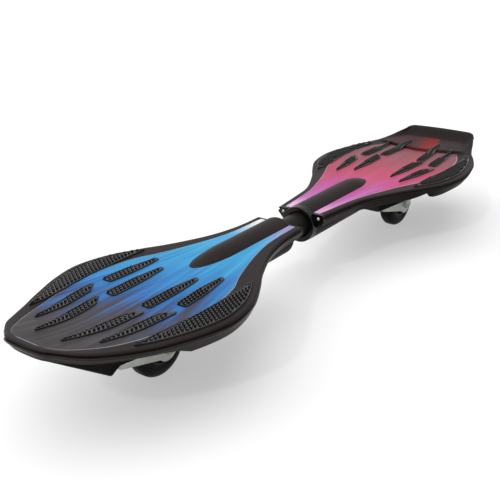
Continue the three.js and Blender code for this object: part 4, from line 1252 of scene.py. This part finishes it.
class BOARD_OT_footboards(bpy.types.Operator):
    """Model the two hollow footboard mouldings"""
    bl_idname = "board.footboards"
    bl_label = "Footboards"

    def execute(self, context):
        for end, deck in (("front", make_front_deck()), ("rear", make_rear_deck())):
            finish_piece(deck, f"{end}_footboard", "deck_plastic", f"{end}_deck",
                         finishes=("deck_plastic", "deck_bead"), weighted=True)
        return {"FINISHED"}


# Films

def make_film(name, line, start_x, end_at, top, highlight_end=False):
    """A thin sheet whose far end follows a line, with a pale painted edge highlight on its sides
    and, if asked, its end.
    """
    proud = settings().film_stand
    shares = np.concatenate([np.linspace(0, 1, FILM_ROWS)[:-1], [1 - EDGE_HIGHLIGHT_SHARE, 1]])
    rows = []
    for share in shares:
        over, under = [], []
        for t in FILM_COLUMNS:
            x = start_x + share * (end_at(t) - start_x)
            y = t * float(np.interp(x, *line))
            z = float(top(x, y)) + proud
            over.append((x, y, z - (FILM_EDGE_DROP if abs(t) == 1 else 0.0)))
            under.append((x, y, z - FILM_THICKNESS))
        rows.append(over + under[::-1])
    # The faces along the sides, and the last row if asked, take the pale painted edge highlight.
    highlighted_row = len(rows) - 2 if highlight_end else None
    highlighted_columns = (0, len(FILM_COLUMNS) - 2)
    return skin(name, closed_rows(rows),
                second=lambda row, column: row == highlighted_row or column in highlighted_columns)


class BOARD_OT_films(bpy.types.Operator):
    """Model the printed films on the footboards and the printed tray at the tail"""
    bl_idname = "board.films"
    bl_label = "Films"

    def execute(self, context):
        far_x, neck_x = FRONT_FILM_LINE[0][0], FRONT_FILM_LINE[0][-1]
        half_end = REAR_FILM_LINE[1][-1]
        front = make_film("front_film", FRONT_FILM_LINE, neck_x, lambda t: far_x, front_top, True)
        cut(front, hump_room("front_hump_room", FRONT_NECK_X, FRONT_TUNNEL, -1))
        rear = make_film("rear_film", REAR_FILM_LINE, CAP_BACK_X + FILM_MARGIN,
                         lambda t: float(ledge_edge(t * half_end)), lambda x, y: TOP_Z)
        cut(rear, hump_room("rear_hump_room", REAR_NECK_X, REAR_TUNNEL, 1))
        # Each film's second finish is its pale painted edge highlight.
        for end, film in (("front", front), ("rear", rear)):
            finish_piece(film, f"{end}_footboard", f"{end}_film", f"{end}_panel",
                         finishes=(f"{end}_film", f"{end}_trim"), weighted=True)
        finish_piece(self.tray(), "rear_footboard", "rear_film", finishes=("tray_print",))
        return {"FINISHED"}

    def tray(self):
        """The print that goes on over the riser and the ledge."""
        stand = TRAY_PRINT_STAND * settings().film_stand
        wide, narrow = (half - TRAY_PRINT_INSET for half in TRAY_HALF_WIDTHS)
        back = TAIL_X - LEDGE_APEX + TRAY_LENGTH - TRAY_PRINT_BACK
        rows = []
        for share in np.linspace(0, 1, TRAY_PRINT_POINTS[0]):
            over, under = [], []
            for t in np.linspace(-1, 1, TRAY_PRINT_POINTS[1]):
                start = float(ledge_edge(t * wide)) + TRAY_PRINT_GAP
                x = start + share ** TRAY_PRINT_POWER * (back - start)
                y = t * (wide + (narrow - wide) * max(0.0, tray_share(x)))
                z = float(rear_top(np.array(x), np.array(y)))
                over.append((x, y, z + stand))
                under.append((x, y, z - TRAY_PRINT_SINK))
            rows.append(over + under[::-1])
        return skin("tail_tray_film", closed_rows(rows))


# Grip pads

def pad_section(half, floor):
    """Half of a pad across: (place, height) points from its foot over the border to its floor."""
    kit = settings()
    stand, lip = kit.pad_stand, min(kit.pad_border, half * 0.5)
    border = [(half - share * lip, stand - drop) for share, drop in PAD_BORDER]
    return [(half, -PAD_SINK), (half, stand - PAD_SHOULDER), *border,
            (half - 0.9 * lip, stand - 0.4 * (stand - floor)), (half - lip, floor)]


def pad_rows(stations, top):
    """Rows round a pad from stations of (x, low y, high y, skew)."""
    kit = settings()
    rows = []
    for place, (x, low, high, skew) in enumerate(stations):
        middle, half = (low + high) / 2, (high - low) / 2
        to_end = min(abs(x - stations[0][0]), abs(x - stations[-1][0]))
        inside = float(ease((to_end - 0.6 * kit.pad_border) / (0.8 * kit.pad_border)))
        section = pad_section(half, kit.pad_stand + inside * (kit.pad_floor - kit.pad_stand))
        row = []
        for across, height in section + [(-a, h) for a, h in reversed(section)]:
            if place in (0, len(stations) - 1) and height > 0:
                height = min(height, kit.pad_stand - PAD_END_DROP)
            px = x + skew * across / max(half, 1e-6)
            y = middle + across
            row.append((px, y, float(top(px, y)) + height))
        rows.append(row)
    return closed_rows(rows)


def leaf_stations(tip, end, skew_share, outer_x, length, sign):
    """Stations along a leaf-shaped pad, from its tip to its wide end."""
    tip_x, end_x = outer_x + tip[0] * length, outer_x + end[0] * length
    run, tip_y, rise = end_x - tip_x, tip[1] * HALF_WIDTH, (end[1] - tip[1]) * HALF_WIDTH
    blunt = length > 0 and skew_share == 0
    stations = []
    for along, across in smooth_line(BLUNT_PAD_WIDTHS if blunt else POINTED_PAD_WIDTHS, LEAF_STEPS):
        middle = sign * (tip_y + along * rise)
        half = max(PAD_TIP_WIDTH, across * PAD_WIDTH) / 2
        skew = sign * math.copysign(1, run) * skew_share * PAD_SKEW * float(ease(along))
        stations.append((tip_x + along * run, middle - half, middle + half, skew))
    return stations


def crescent_stations(line, outer_x, length, span, shape, inner_shape, sign):
    """Stations along a pad that follows the footboard's edge."""
    xs, widths = monotone(line)
    stations = []
    for along, across in smooth_line(shape, CRESCENT_STEPS):
        x = outer_x + length * (span[0] + along * (span[1] - span[0]))
        inner = HALF_WIDTH * float(np.interp(along, *np.array(inner_shape).T))
        full = max(PAD_TIP_WIDTH, float(np.interp(x, xs, widths)) - CRESCENT_INSET - inner)
        width = max(PAD_TIP_WIDTH, across * full)
        inner += (full - width) * (0.5 if along < 0.1 else 0.25)
        edges = (sign * inner, sign * (inner + width))
        stations.append((x, min(edges), max(edges), 0.0))
    return stations


def stud():
    """One grip stud: a small round peg with a domed top."""
    kit = settings()
    radius, height = kit.stud_width / 2, kit.stud_height
    clear_selection()
    bpy.ops.mesh.primitive_cone_add(
        vertices=STUD_SIDES, radius1=radius, radius2=radius * STUD_TAPER, depth=height + STUD_SINK,
        location=(0, 0, (height - STUD_SINK) / 2))
    bpy.ops.object.transform_apply()
    peg = bpy.context.object
    for edge in peg.data.edges:
        edge.select = all(peg.data.vertices[v].co.z > height - 1e-5 for v in edge.vertices)
    bpy.ops.object.mode_set(mode="EDIT")
    bpy.context.tool_settings.mesh_select_mode = (False, True, False)
    bpy.ops.mesh.bevel(offset=radius * 0.5, segments=2)
    bpy.ops.object.mode_set(mode="OBJECT")
    bpy.context.tool_settings.mesh_select_mode = (True, False, False)
    return peg


def stud_places(stations, top):
    """Places in staggered rows inside a pad's border."""
    kit = settings()
    table = sorted((x, (low + high) / 2, (high - low) / 2, skew) for x, low, high, skew in stations)
    xs, middle, half, skew = np.array(table).T
    spacing = kit.stud_pitch * STUD_ROW_SHARE
    margin = kit.pad_border + kit.stud_width * STUD_MARGIN_SHARE
    rows = int(((middle + half).max() - (middle - half).min()) / spacing) + 2
    slope = np.polyfit(xs, middle, 1)
    places = []
    for row in range(-rows, rows + 1):
        start = xs[0] + (row % 2) * kit.stud_pitch / 2
        for x in np.arange(start, xs[-1], kit.stud_pitch):
            y = np.polyval(slope, x) + row * spacing
            m, h, k = (float(np.interp(x, xs, v)) for v in (middle, half, skew))
            lean = k * (y - m) / max(h, 1e-6)
            m, h = (float(np.interp(x - lean, xs, v)) for v in (middle, half))
            narrow = h < margin + 0.3 * spacing and h > 0.5 * kit.stud_width
            if narrow and row == 0:
                y = m
            elif abs(y - m) > h - margin:
                continue
            if xs[0] + margin < x - lean < xs[-1] - margin:
                places.append((x, y, float(top(x, y))))
    return places


class BOARD_OT_grip_pads(bpy.types.Operator):
    """Model the rubber grip pads with their borders and studs"""
    bl_idname = "board.grip_pads"
    bl_label = "Grip pads"

    def execute(self, context):
        leaves = (("front", front_top, FRONT_PADS, NOSE_X, FRONT_LENGTH),
                  ("rear", rear_pad_top, REAR_PADS, TAIL_X, -REAR_LENGTH))
        crescents = (("front", front_top, FRONT_LINE, NOSE_X, FRONT_LENGTH, FRONT_CRESCENT,
                      FRONT_CRESCENT_WIDTHS, FRONT_CRESCENT_INNER),
                     ("rear", rear_rim, REAR_LINE, TAIL_X, -REAR_LENGTH, REAR_CRESCENT,
                      REAR_CRESCENT_WIDTHS, REAR_CRESCENT_INNER))
        peg = stud()
        for sign, side in ((1, "left"), (-1, "right")):
            for end, top, pads, outer_x, length in leaves:
                for name, *shape in pads:
                    stations = leaf_stations(*shape, outer_x, length, sign)
                    self.pad(end, f"{name}_{side}", peg, top, stations)
            for end, top, *shape in crescents:
                self.pad(end, f"crescent_{side}", peg, top, crescent_stations(*shape, sign))
        bpy.data.objects.remove(peg)
        return {"FINISHED"}

    def pad(self, end, name, peg, top, stations):
        node = f"{end}_pad_{name}"
        base = skin(node + "_rubber", pad_rows(stations, top))
        floor = Vector((0, 0, settings().pad_floor))
        pegs = []
        for place in stud_places(stations, top):
            copy = peg.copy()
            copy.data = peg.data.copy()
            copy.data.transform(Matrix.Translation(Vector(place) + floor))
            bpy.context.collection.objects.link(copy)
            pegs.append(copy)
        rubber = joined(node + "_rubber", [base, *pegs])
        finish_piece(rubber, f"{end}_footboard", "grip_rubber", node, angle=PAD_SMOOTH_ANGLE)


# Torsion joint

class BOARD_OT_torsion_joint(bpy.types.Operator):
    """Model the torsion tube, the neck cap with its collar, the screws and the cross bolts"""
    bl_idname = "board.torsion_joint"
    bl_label = "Torsion joint"

    def execute(self, context):
        pipe = tube("torsion_pipe", TUBE_RADIUS - TUBE_WALL, TUBE_RADIUS, on_tube(TUBE_FRONT_X),
                    on_tube(TUBE_REAR_X), edge=TUBE_EDGE)
        finish_piece(pipe, "front_footboard", "black_steel", "torsion_tube")
        finish_piece(self.cap(), "rear_footboard", "cap_plastic", "neck_cap", weighted=True)
        for node in ("cap_screw_left", "cap_screw_right"):
            finish_piece(self.cap_screw(node), "rear_footboard", "screw_steel", node)
        for end in ("front", "rear"):
            node = f"{end}_cross_bolt"
            finish_piece(refined(node, FINE_EDGE), f"{end}_footboard", "zinc_steel", node,
                         angle=ROUND_ANGLE)
        return {"FINISHED"}

    def cap(self):
        """The plate over the rear neck: two wings, an arch between them, and the tube's collar."""
        width = float(np.interp(REAR_NECK_X, *monotone(REAR_LINE)))
        depth = REAR_SKIRT[0][1] * SKIRT_DEPTH
        draw = wall_draw(depth)
        side = [*rim_levels(), (draw, depth - CAP_FOOT), (draw + CAP_FOOT, depth)]
        right = [(width - draw, TOP_Z - drop) for draw, drop in side]
        left = [(-y, z) for y, z in reversed(right)]
        thick = CAP_BACK_X - REAR_NECK_X
        wings = plate("cap_wings", left + right, thick, (REAR_NECK_X + thick / 2, 0, 0), ACROSS, UP)
        arch = [(0, 0), (TUNNEL_RADIUS, 0), (TUNNEL_RADIUS, thick), (0, thick)]
        arch = rounded(arch, CAP_DISC_ROUND, 4)
        add(wings, turned("cap_disc", arch, on_tube(REAR_NECK_X), ALONG))
        cut(wings, rod("cap_bore", TUBE_RADIUS + CAP_BORE_FIT, on_tube(REAR_NECK_X - PAST),
                       on_tube(CAP_BACK_X + PAST), TURN_STEPS))
        run = REAR_NECK_X - CAP_FRONT_X + thick / 2
        inner, outer = TUBE_RADIUS + TUBE_FIT, TUNNEL_RADIUS - CAP_COLLAR_INSET
        middle = (BORE_RADIUS + outer) / 2
        ring = [(middle, 0), (outer, 0), (outer, run), (middle, run), (inner, run), (inner, 0),
                (middle, 0)]
        return add(wings, turned("cap_collar", rounded(ring, CAP_COLLAR_ROUND, 6)[:-1],
                                 on_tube(CAP_FRONT_X), ALONG, ring=True))

    def cap_screw(self, node):
        low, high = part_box(node)
        middle, radius = (low + high) / 2, (high.y - low.y) / 2
        start = (low.x + SCREW_SINK, middle.y, middle.z)
        tip = high.x - low.x - SCREW_SINK
        profile = [(radius * share, depth) for share, depth in SCREW_HEAD]
        profile += [(SCREW_SHANK_RADIUS, profile[-1][1]), (SCREW_SHANK_RADIUS, tip - SCREW_TIP),
                    (SCREW_TIP, tip), (0, tip)]
        screw = turned(node + "_turned", rounded(profile, SCREW_ROUND, 2), start, ALONG,
                       SMALL_TURN_STEPS)
        for turn in (0, 90):
            slot = block("cross", *SCREW_SLOT)
            turning = Matrix.Rotation(math.radians(turn), 4, "X")
            slot.data.transform(Matrix.Translation(start) @ turning)
            cut(screw, slot)
        return screw


# Casters

class BOARD_OT_brackets(bpy.types.Operator):
    """Model the casters' forks, mounting plates, bolts and races"""
    bl_idname = "board.brackets"
    bl_label = "Caster brackets"

    def execute(self, context):
        for end in ("front", "rear"):
            swivel, board = f"{end}_swivel", f"{end}_footboard"
            finish_piece(self.fork(end), swivel, "zinc_steel", f"{end}_fork")
            finish_piece(self.plate(end), board, "zinc_steel", f"{end}_swivel_plate")
            for part, width, body, slot, angle in (
                    ("kingpin", FINE_EDGE, board, "zinc_steel", ROUND_ANGLE),
                    ("ball_race", 0, board, "zinc_steel", ROUND_ANGLE),
                    ("kingpin_nut", NUT_EDGE, board, "screw_steel", SMOOTH_ANGLE),
                    ("axle_bolt", NUT_EDGE, swivel, "screw_steel", ROUND_ANGLE),
                    ("axle_nut", NUT_EDGE, swivel, "screw_steel", ROUND_ANGLE)):
                node = f"{end}_{part}"
                finish_piece(refined(node, width), body, slot, node, angle=angle)
        return {"FINISHED"}

    def fork(self, end):
        """A crown with two cheeks that hold the axle."""
        place, back, axis = caster_space(end)
        axle = Vector(JOINTS[f"{end}_wheel_spin"]["pos_m"])
        trail, depth = (axle - place).dot(back), -(axle - place).dot(axis)
        front, rear = CROWN_SPAN
        inner = WHEEL_HALF + CROWN_THICKNESS
        middle = inner + CHEEK_THICKNESS / 2
        half = inner + CHEEK_THICKNESS - CROWN_SIDE_INSET
        lobe = [(trail + CHEEK_LOBE * math.cos(a), -depth + CHEEK_LOBE * math.sin(a))
                for a in np.linspace(*CHEEK_TURN, SMALL_TURN_STEPS)]
        cheek = [(front, -CROWN_DROP), (front, -CROWN_DROP - CHEEK_CORNERS[0]), *lobe,
                 (rear, -CROWN_DROP - CHEEK_CORNERS[1]), (rear, -CROWN_DROP)]
        crown = [(front, -half), (rear, -half), (rear, half), (front, half)]
        cheeks = []
        for sign in (1, -1):
            centre = place + ACROSS * sign * middle
            cheeks.append(plate(f"{end}_cheek", cheek, CHEEK_THICKNESS, centre, back, axis))
        fork = plate(f"{end}_crown", crown, CROWN_THICKNESS,
                     place - axis * (CROWN_DROP + CROWN_THICKNESS / 2), back, ACROSS)
        disc = rod(f"{end}_crown_disc", CROWN_DISC_RADIUS,
                   place - axis * (CROWN_DROP + CROWN_THICKNESS), place - axis * CROWN_DROP,
                   MEDIUM_TURN_STEPS)
        add(fork, disc, *cheeks)
        for sign in (1, -1):
            start = axle + ACROSS * sign * (inner - CROWN_THICKNESS)
            finish = axle + ACROSS * sign * middle
            add(fork, rod(f"{end}_boss", AXLE_BOSS_RADIUS, start, finish, BOSS_STEPS))
        cut(fork, rod(f"{end}_pin_hole", PIN_HOLE_RADIUS, place - axis * HOLE_REACH, place),
            rod(f"{end}_axle_hole", AXLE_HOLE_RADIUS, axle - ACROSS * HOLE_REACH,
                axle + ACROSS * HOLE_REACH))
        soften(fork, FORK_EDGE, 2, 40)
        return fork

    def plate(self, end):
        """The plate under the housing, with the upper race's lip and four bolt heads."""
        place, back, axis = caster_space(end)
        points = []
        for sx, sy in ((1, 1), (-1, 1), (-1, -1), (1, -1)):
            x, y = sx * PLATE_HALF_LENGTH, sy * PLATE_HALF_WIDTH
            cut_corner = [(x, y - sy * PLATE_CORNER), (x - sx * PLATE_CORNER, y)]
            points += cut_corner if sx * sy > 0 else cut_corner[::-1]
        flat = plate(f"{end}_flange", points, PLATE_THICKNESS,
                     place - axis * (PLATE_GAP + PLATE_THICKNESS / 2), back, ACROSS)
        ends = [place - axis * drop for drop in RACE_LIP_DROPS]
        add(flat, tube(f"{end}_race_lip", *RACE_LIP_RADII, *ends, MEDIUM_TURN_STEPS))
        cut(flat, rod(f"{end}_plate_hole", PLATE_HOLE_RADIUS, place - axis * PAST,
                      place + axis * PAST / 2))
        heads = []
        for sx, sy in ((1, 1), (1, -1), (-1, 1), (-1, -1)):
            spot = place + back * sx * PLATE_BOLT_SPOT[0] + ACROSS * sy * PLATE_BOLT_SPOT[1]
            ends = [spot - axis * drop for drop in PLATE_BOLT_DROPS]
            heads.append(rod(f"{end}_bolt_head", PLATE_BOLT_RADIUS, *ends, BOLT_STEPS,
                             PLATE_BOLT_ROUND))
        add(flat, *heads)
        soften(flat, FINE_EDGE, 2, 40)
        return flat


class BOARD_OT_wheels(bpy.types.Operator):
    """Model the tyres, hubs and bearings"""
    bl_idname = "board.wheels"
    bl_label = "Wheels"

    def execute(self, context):
        for end in ("front", "rear"):
            centre = JOINTS[f"{end}_wheel_spin"]["pos_m"]
            body = f"{end}_wheel"
            finish_piece(self.tyre(end, centre), body, "tyre_pu", f"{end}_tyre")
            finish_piece(self.hub(end, centre), body, "hub_plastic", f"{end}_wheel_hub")
            for side, sign in (("left", 1), ("right", -1)):
                node = f"{end}_bearing_{side}"
                finish_piece(self.bearing(node, centre, sign), body, "screw_steel", node)
        return {"FINISHED"}

    def tyre(self, end, centre):
        right = [(TYRE_INNER, WHEEL_HALF - TYRE_HOLLOW),
                 (TYRE_INNER + TYRE_CHAMFER, WHEEL_HALF - TYRE_SIDE_GAP)]
        for a in np.linspace(0, math.pi / 2, CORNER_STEPS):
            right.append((WHEEL_RADIUS - TYRE_CORNER * (1 - math.sin(a)),
                          TYRE_FLAT + (WHEEL_HALF - TYRE_FLAT) * math.cos(a)))
        left = [(radius, -across) for radius, across in right]
        return turned(f"{end}_tyre_cast", left + right[::-1], centre, ACROSS, TYRE_STEPS, ring=True)

    def hub(self, end, centre):
        half = WHEEL_HALF - HUB_SIDE_DROP
        seat, land = HUB_SEAT[0], half - HUB_SEAT[1]
        rim_inner, rim_outer = HUB_RIM
        side = [(HUB_BORE, 0), (HUB_BORE, land), (seat, land), (seat, half), (HUB_BOSS, half),
                (HUB_BOSS, HUB_WEB), (rim_inner, HUB_WEB), (rim_inner, half), (rim_outer, half),
                (rim_outer, 0)]
        right = [tuple(point) for point in rounded(side, HUB_ROUND, 3)]
        left = [(radius, -place) for radius, place in right[::-1]][1:-1]
        hub = turned(f"{end}_hub_moulded", right + left, centre, ACROSS, HUB_STEPS, ring=True)
        circle = (HUB_BOSS + rim_inner) / 2
        for step in range(HUB_HOLES):
            angle = math.radians(360 / HUB_HOLES * step)
            spot = Vector(centre) + Vector((circle * math.cos(angle), 0, circle * math.sin(angle)))
            cut(hub, rod("hole", HUB_HOLE_RADIUS, spot - ACROSS * half, spot + ACROSS * half,
                         HOLE_STEPS))
        return hub

    def bearing(self, node, centre, sign):
        low, high = sorted(abs(corner.y - centre[1]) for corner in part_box(node))
        inner, outer = BEARING_RADII
        shield = [(radius, high - drop) for radius, drop in zip(
            reversed(SHIELD_RADII), (0, SHIELD_DROP, SHIELD_DROP, 0))]
        profile = [(inner, low), (outer, low), (outer, high), *shield, (inner, high)]
        return turned(node + "_ring", [(r, sign * v) for r, v in profile], centre, ACROSS,
                      MEDIUM_TURN_STEPS, ring=True)


class BOARD_OT_frame_finishes(bpy.types.Operator):
    """Give the frame's own pieces that still show their finishes"""
    bl_idname = "board.frame_finishes"
    bl_label = "Frame finishes"

    def execute(self, context):
        slots = {row["node"]: row["material_slot"] for row in frame["record"]["subparts"]}
        for name, node in frame["nodes"].items():
            if not node.hide_render:
                material = finish_named(slots[name])
                node.data.materials.clear()
                node.data.materials.append(material)
        return {"FINISHED"}


# Stage

class BOARD_OT_stage(bpy.types.Operator):
    """Add the floor, the lamps, the surroundings and the camera"""
    bl_idname = "board.stage"
    bl_label = "Stage"

    def execute(self, context):
        kit = settings()
        clear_selection()
        bpy.ops.mesh.primitive_plane_add(size=FLOOR_SIZE, location=MIDDLE)
        floor = bpy.context.object
        floor.name = "floor"
        floor.data.materials.append(studio_floor("studio_floor"))
        self.lamps(kit)
        self.world(kit)
        self.camera(context, kit)
        context.scene.view_settings.view_transform = "Standard"
        return {"FINISHED"}

    def lamps(self, kit):
        for name, azimuth, elevation, spread in LAMPS:
            bpy.ops.object.light_add(type="SUN")
            lamp = bpy.context.object
            lamp.name = name
            lamp.data.energy = getattr(kit, name + "_light")
            lamp.data.angle = math.radians(spread)
            a, e = math.radians(azimuth), math.radians(elevation)
            towards = Vector((math.cos(a) * math.cos(e), math.sin(a) * math.cos(e), math.sin(e)))
            lamp.rotation_euler = towards.to_track_quat("Z", "Y").to_euler()

    def world(self, kit):
        recipe = Recipe(bpy.data.worlds.new("surroundings"), "Background")
        level = recipe.range(recipe.seen(), 0.0, 1.0, kit.ambient, 1.0)
        bpy.context.scene.world = recipe.surface(Color=(1, 1, 1), Strength=level)

    def camera(self, context, kit):
        bpy.ops.object.camera_add(location=kit.camera_place)
        camera = bpy.context.object
        camera.name = "photo_view"
        azimuth, elevation, roll = kit.camera_azimuth, kit.camera_elevation, kit.camera_roll
        forward = Vector((math.cos(azimuth) * math.cos(elevation),
                          math.sin(azimuth) * math.cos(elevation), -math.sin(elevation)))
        right = Vector((math.sin(azimuth), -math.cos(azimuth), 0))
        up = right.cross(forward)
        turned_right = math.cos(roll) * right + math.sin(roll) * up
        turned_up = -math.sin(roll) * right + math.cos(roll) * up
        camera.rotation_euler = Matrix((turned_right, turned_up, -forward)).transposed().to_euler()
        camera.data.sensor_width = SENSOR_WIDTH
        camera.data.lens = kit.camera_lens
        camera.data.clip_start, camera.data.clip_end = 0.01, 100
        context.scene.camera = camera


# Settings, panel and registration

def length_setting(name, description, default):
    return bpy.props.FloatProperty(name=name, description=description, default=default,
                                   unit="LENGTH", precision=4)


def colour_setting(name, description, default):
    return bpy.props.FloatVectorProperty(name=name, description=description, default=default,
                                         subtype="COLOR", size=3, min=0, max=1)


def level_setting(name, description, default):
    return bpy.props.FloatProperty(name=name, description=description, default=default, min=0)


def angle_setting(name, description, default):
    return bpy.props.FloatProperty(name=name, description=description, default=default,
                                   subtype="ANGLE")


class BoardSettings(bpy.types.PropertyGroup):
    moulding_colour: colour_setting("Moulding", "Colour of the footboards' plastic",
                                    (0.027, 0.0215, 0.0205))
    cap_colour: colour_setting("Cap", "Colour of the neck cap", (0.006, 0.005, 0.005))
    tube_colour: colour_setting("Tube", "Colour of the torsion tube's coat", (0.014, 0.011, 0.01))
    grip_colour: colour_setting("Grip", "Colour of the rubber pads", (0.007, 0.006, 0.006))
    tyre_colour: colour_setting("Tyre", "Colour of the tyres", (0.008, 0.007, 0.008))
    steel_colour: colour_setting("Steel", "Colour of the plated steel", (0.84, 0.87, 0.79))
    film_stand: length_setting("Film stand", "How far a film stands above the moulding", 0.00025)
    pad_stand: length_setting("Pad border height", "Height of a pad's border above the film",
                              0.0022)
    pad_floor: length_setting("Pad floor height", "Height of a pad's floor above the film", 0.0014)
    pad_border: length_setting("Pad border width", "Width of a pad's smooth border", 0.0013)
    stud_width: length_setting("Stud width", "Diameter of a grip stud", 0.003)
    stud_height: length_setting("Stud height", "Height of a grip stud above its pad's floor",
                                0.0026)
    stud_pitch: length_setting("Stud pitch", "Distance between studs along a pad", 0.0052)
    floor_glow: level_setting("Floor glow", "Light that the floor adds where it is seen", 0.42)
    floor_bounce: level_setting("Floor bounce", "Share of light that the floor throws back", 0.16)
    key_light: level_setting("Key light", "Strength of the main lamp", 2.25)
    fill_light: level_setting("Fill light", "Strength of the fill lamp", 0.32)
    back_light: level_setting("Back light", "Strength of the lamp behind the board", 0.22)
    glint_light: level_setting("Glint light", "Strength of the small lamp for highlights", 0.4)
    ambient: level_setting("Ambient light", "Strength of the surroundings on matt surfaces", 0.2)
    camera_place: bpy.props.FloatVectorProperty(
        name="Camera place", description="Where the camera stands", size=3,
        default=(-0.8169, -0.5581, 0.4697), subtype="XYZ", unit="LENGTH")
    camera_azimuth: angle_setting("Camera azimuth", "Direction of view round the vertical, from +X",
                                  0.658)
    camera_elevation: angle_setting("Camera elevation", "Angle of view below the horizon", 0.399)
    camera_roll: angle_setting("Camera roll", "Turn of the camera about its view", -0.029)
    camera_lens: bpy.props.FloatProperty(
        name="Lens", description="Focal length on a 36 mm sensor", default=59.76,
        subtype="DISTANCE_CAMERA")


OPERATORS = (BOARD_OT_footboards, BOARD_OT_films, BOARD_OT_grip_pads, BOARD_OT_torsion_joint,
             BOARD_OT_brackets, BOARD_OT_wheels, BOARD_OT_frame_finishes, BOARD_OT_stage)


class BOARD_PT_panel(bpy.types.Panel):
    bl_label = "Caster Board"
    bl_idname = "BOARD_PT_panel"
    bl_space_type = "VIEW_3D"
    bl_region_type = "UI"
    bl_category = "Caster Board"

    def draw(self, context):
        for name in BoardSettings.__annotations__:
            self.layout.prop(context.scene.caster_board, name)
        for operator in OPERATORS:
            self.layout.operator(operator.bl_idname)


CLASSES = (BoardSettings, *OPERATORS, BOARD_PT_panel)


def register():
    for item in CLASSES:
        bpy.utils.register_class(item)
    bpy.types.Scene.caster_board = bpy.props.PointerProperty(type=BoardSettings)


def unregister():
    del bpy.types.Scene.caster_board
    for item in reversed(CLASSES):
        bpy.utils.unregister_class(item)


def main():
    register()
    bpy.ops.board.footboards()
    bpy.ops.board.films()
    bpy.ops.board.grip_pads()
    bpy.ops.board.torsion_joint()
    bpy.ops.board.brackets()
    bpy.ops.board.wheels()
    bpy.ops.board.frame_finishes()
    bpy.ops.board.stage()


if __name__ == "__main__":
    main()
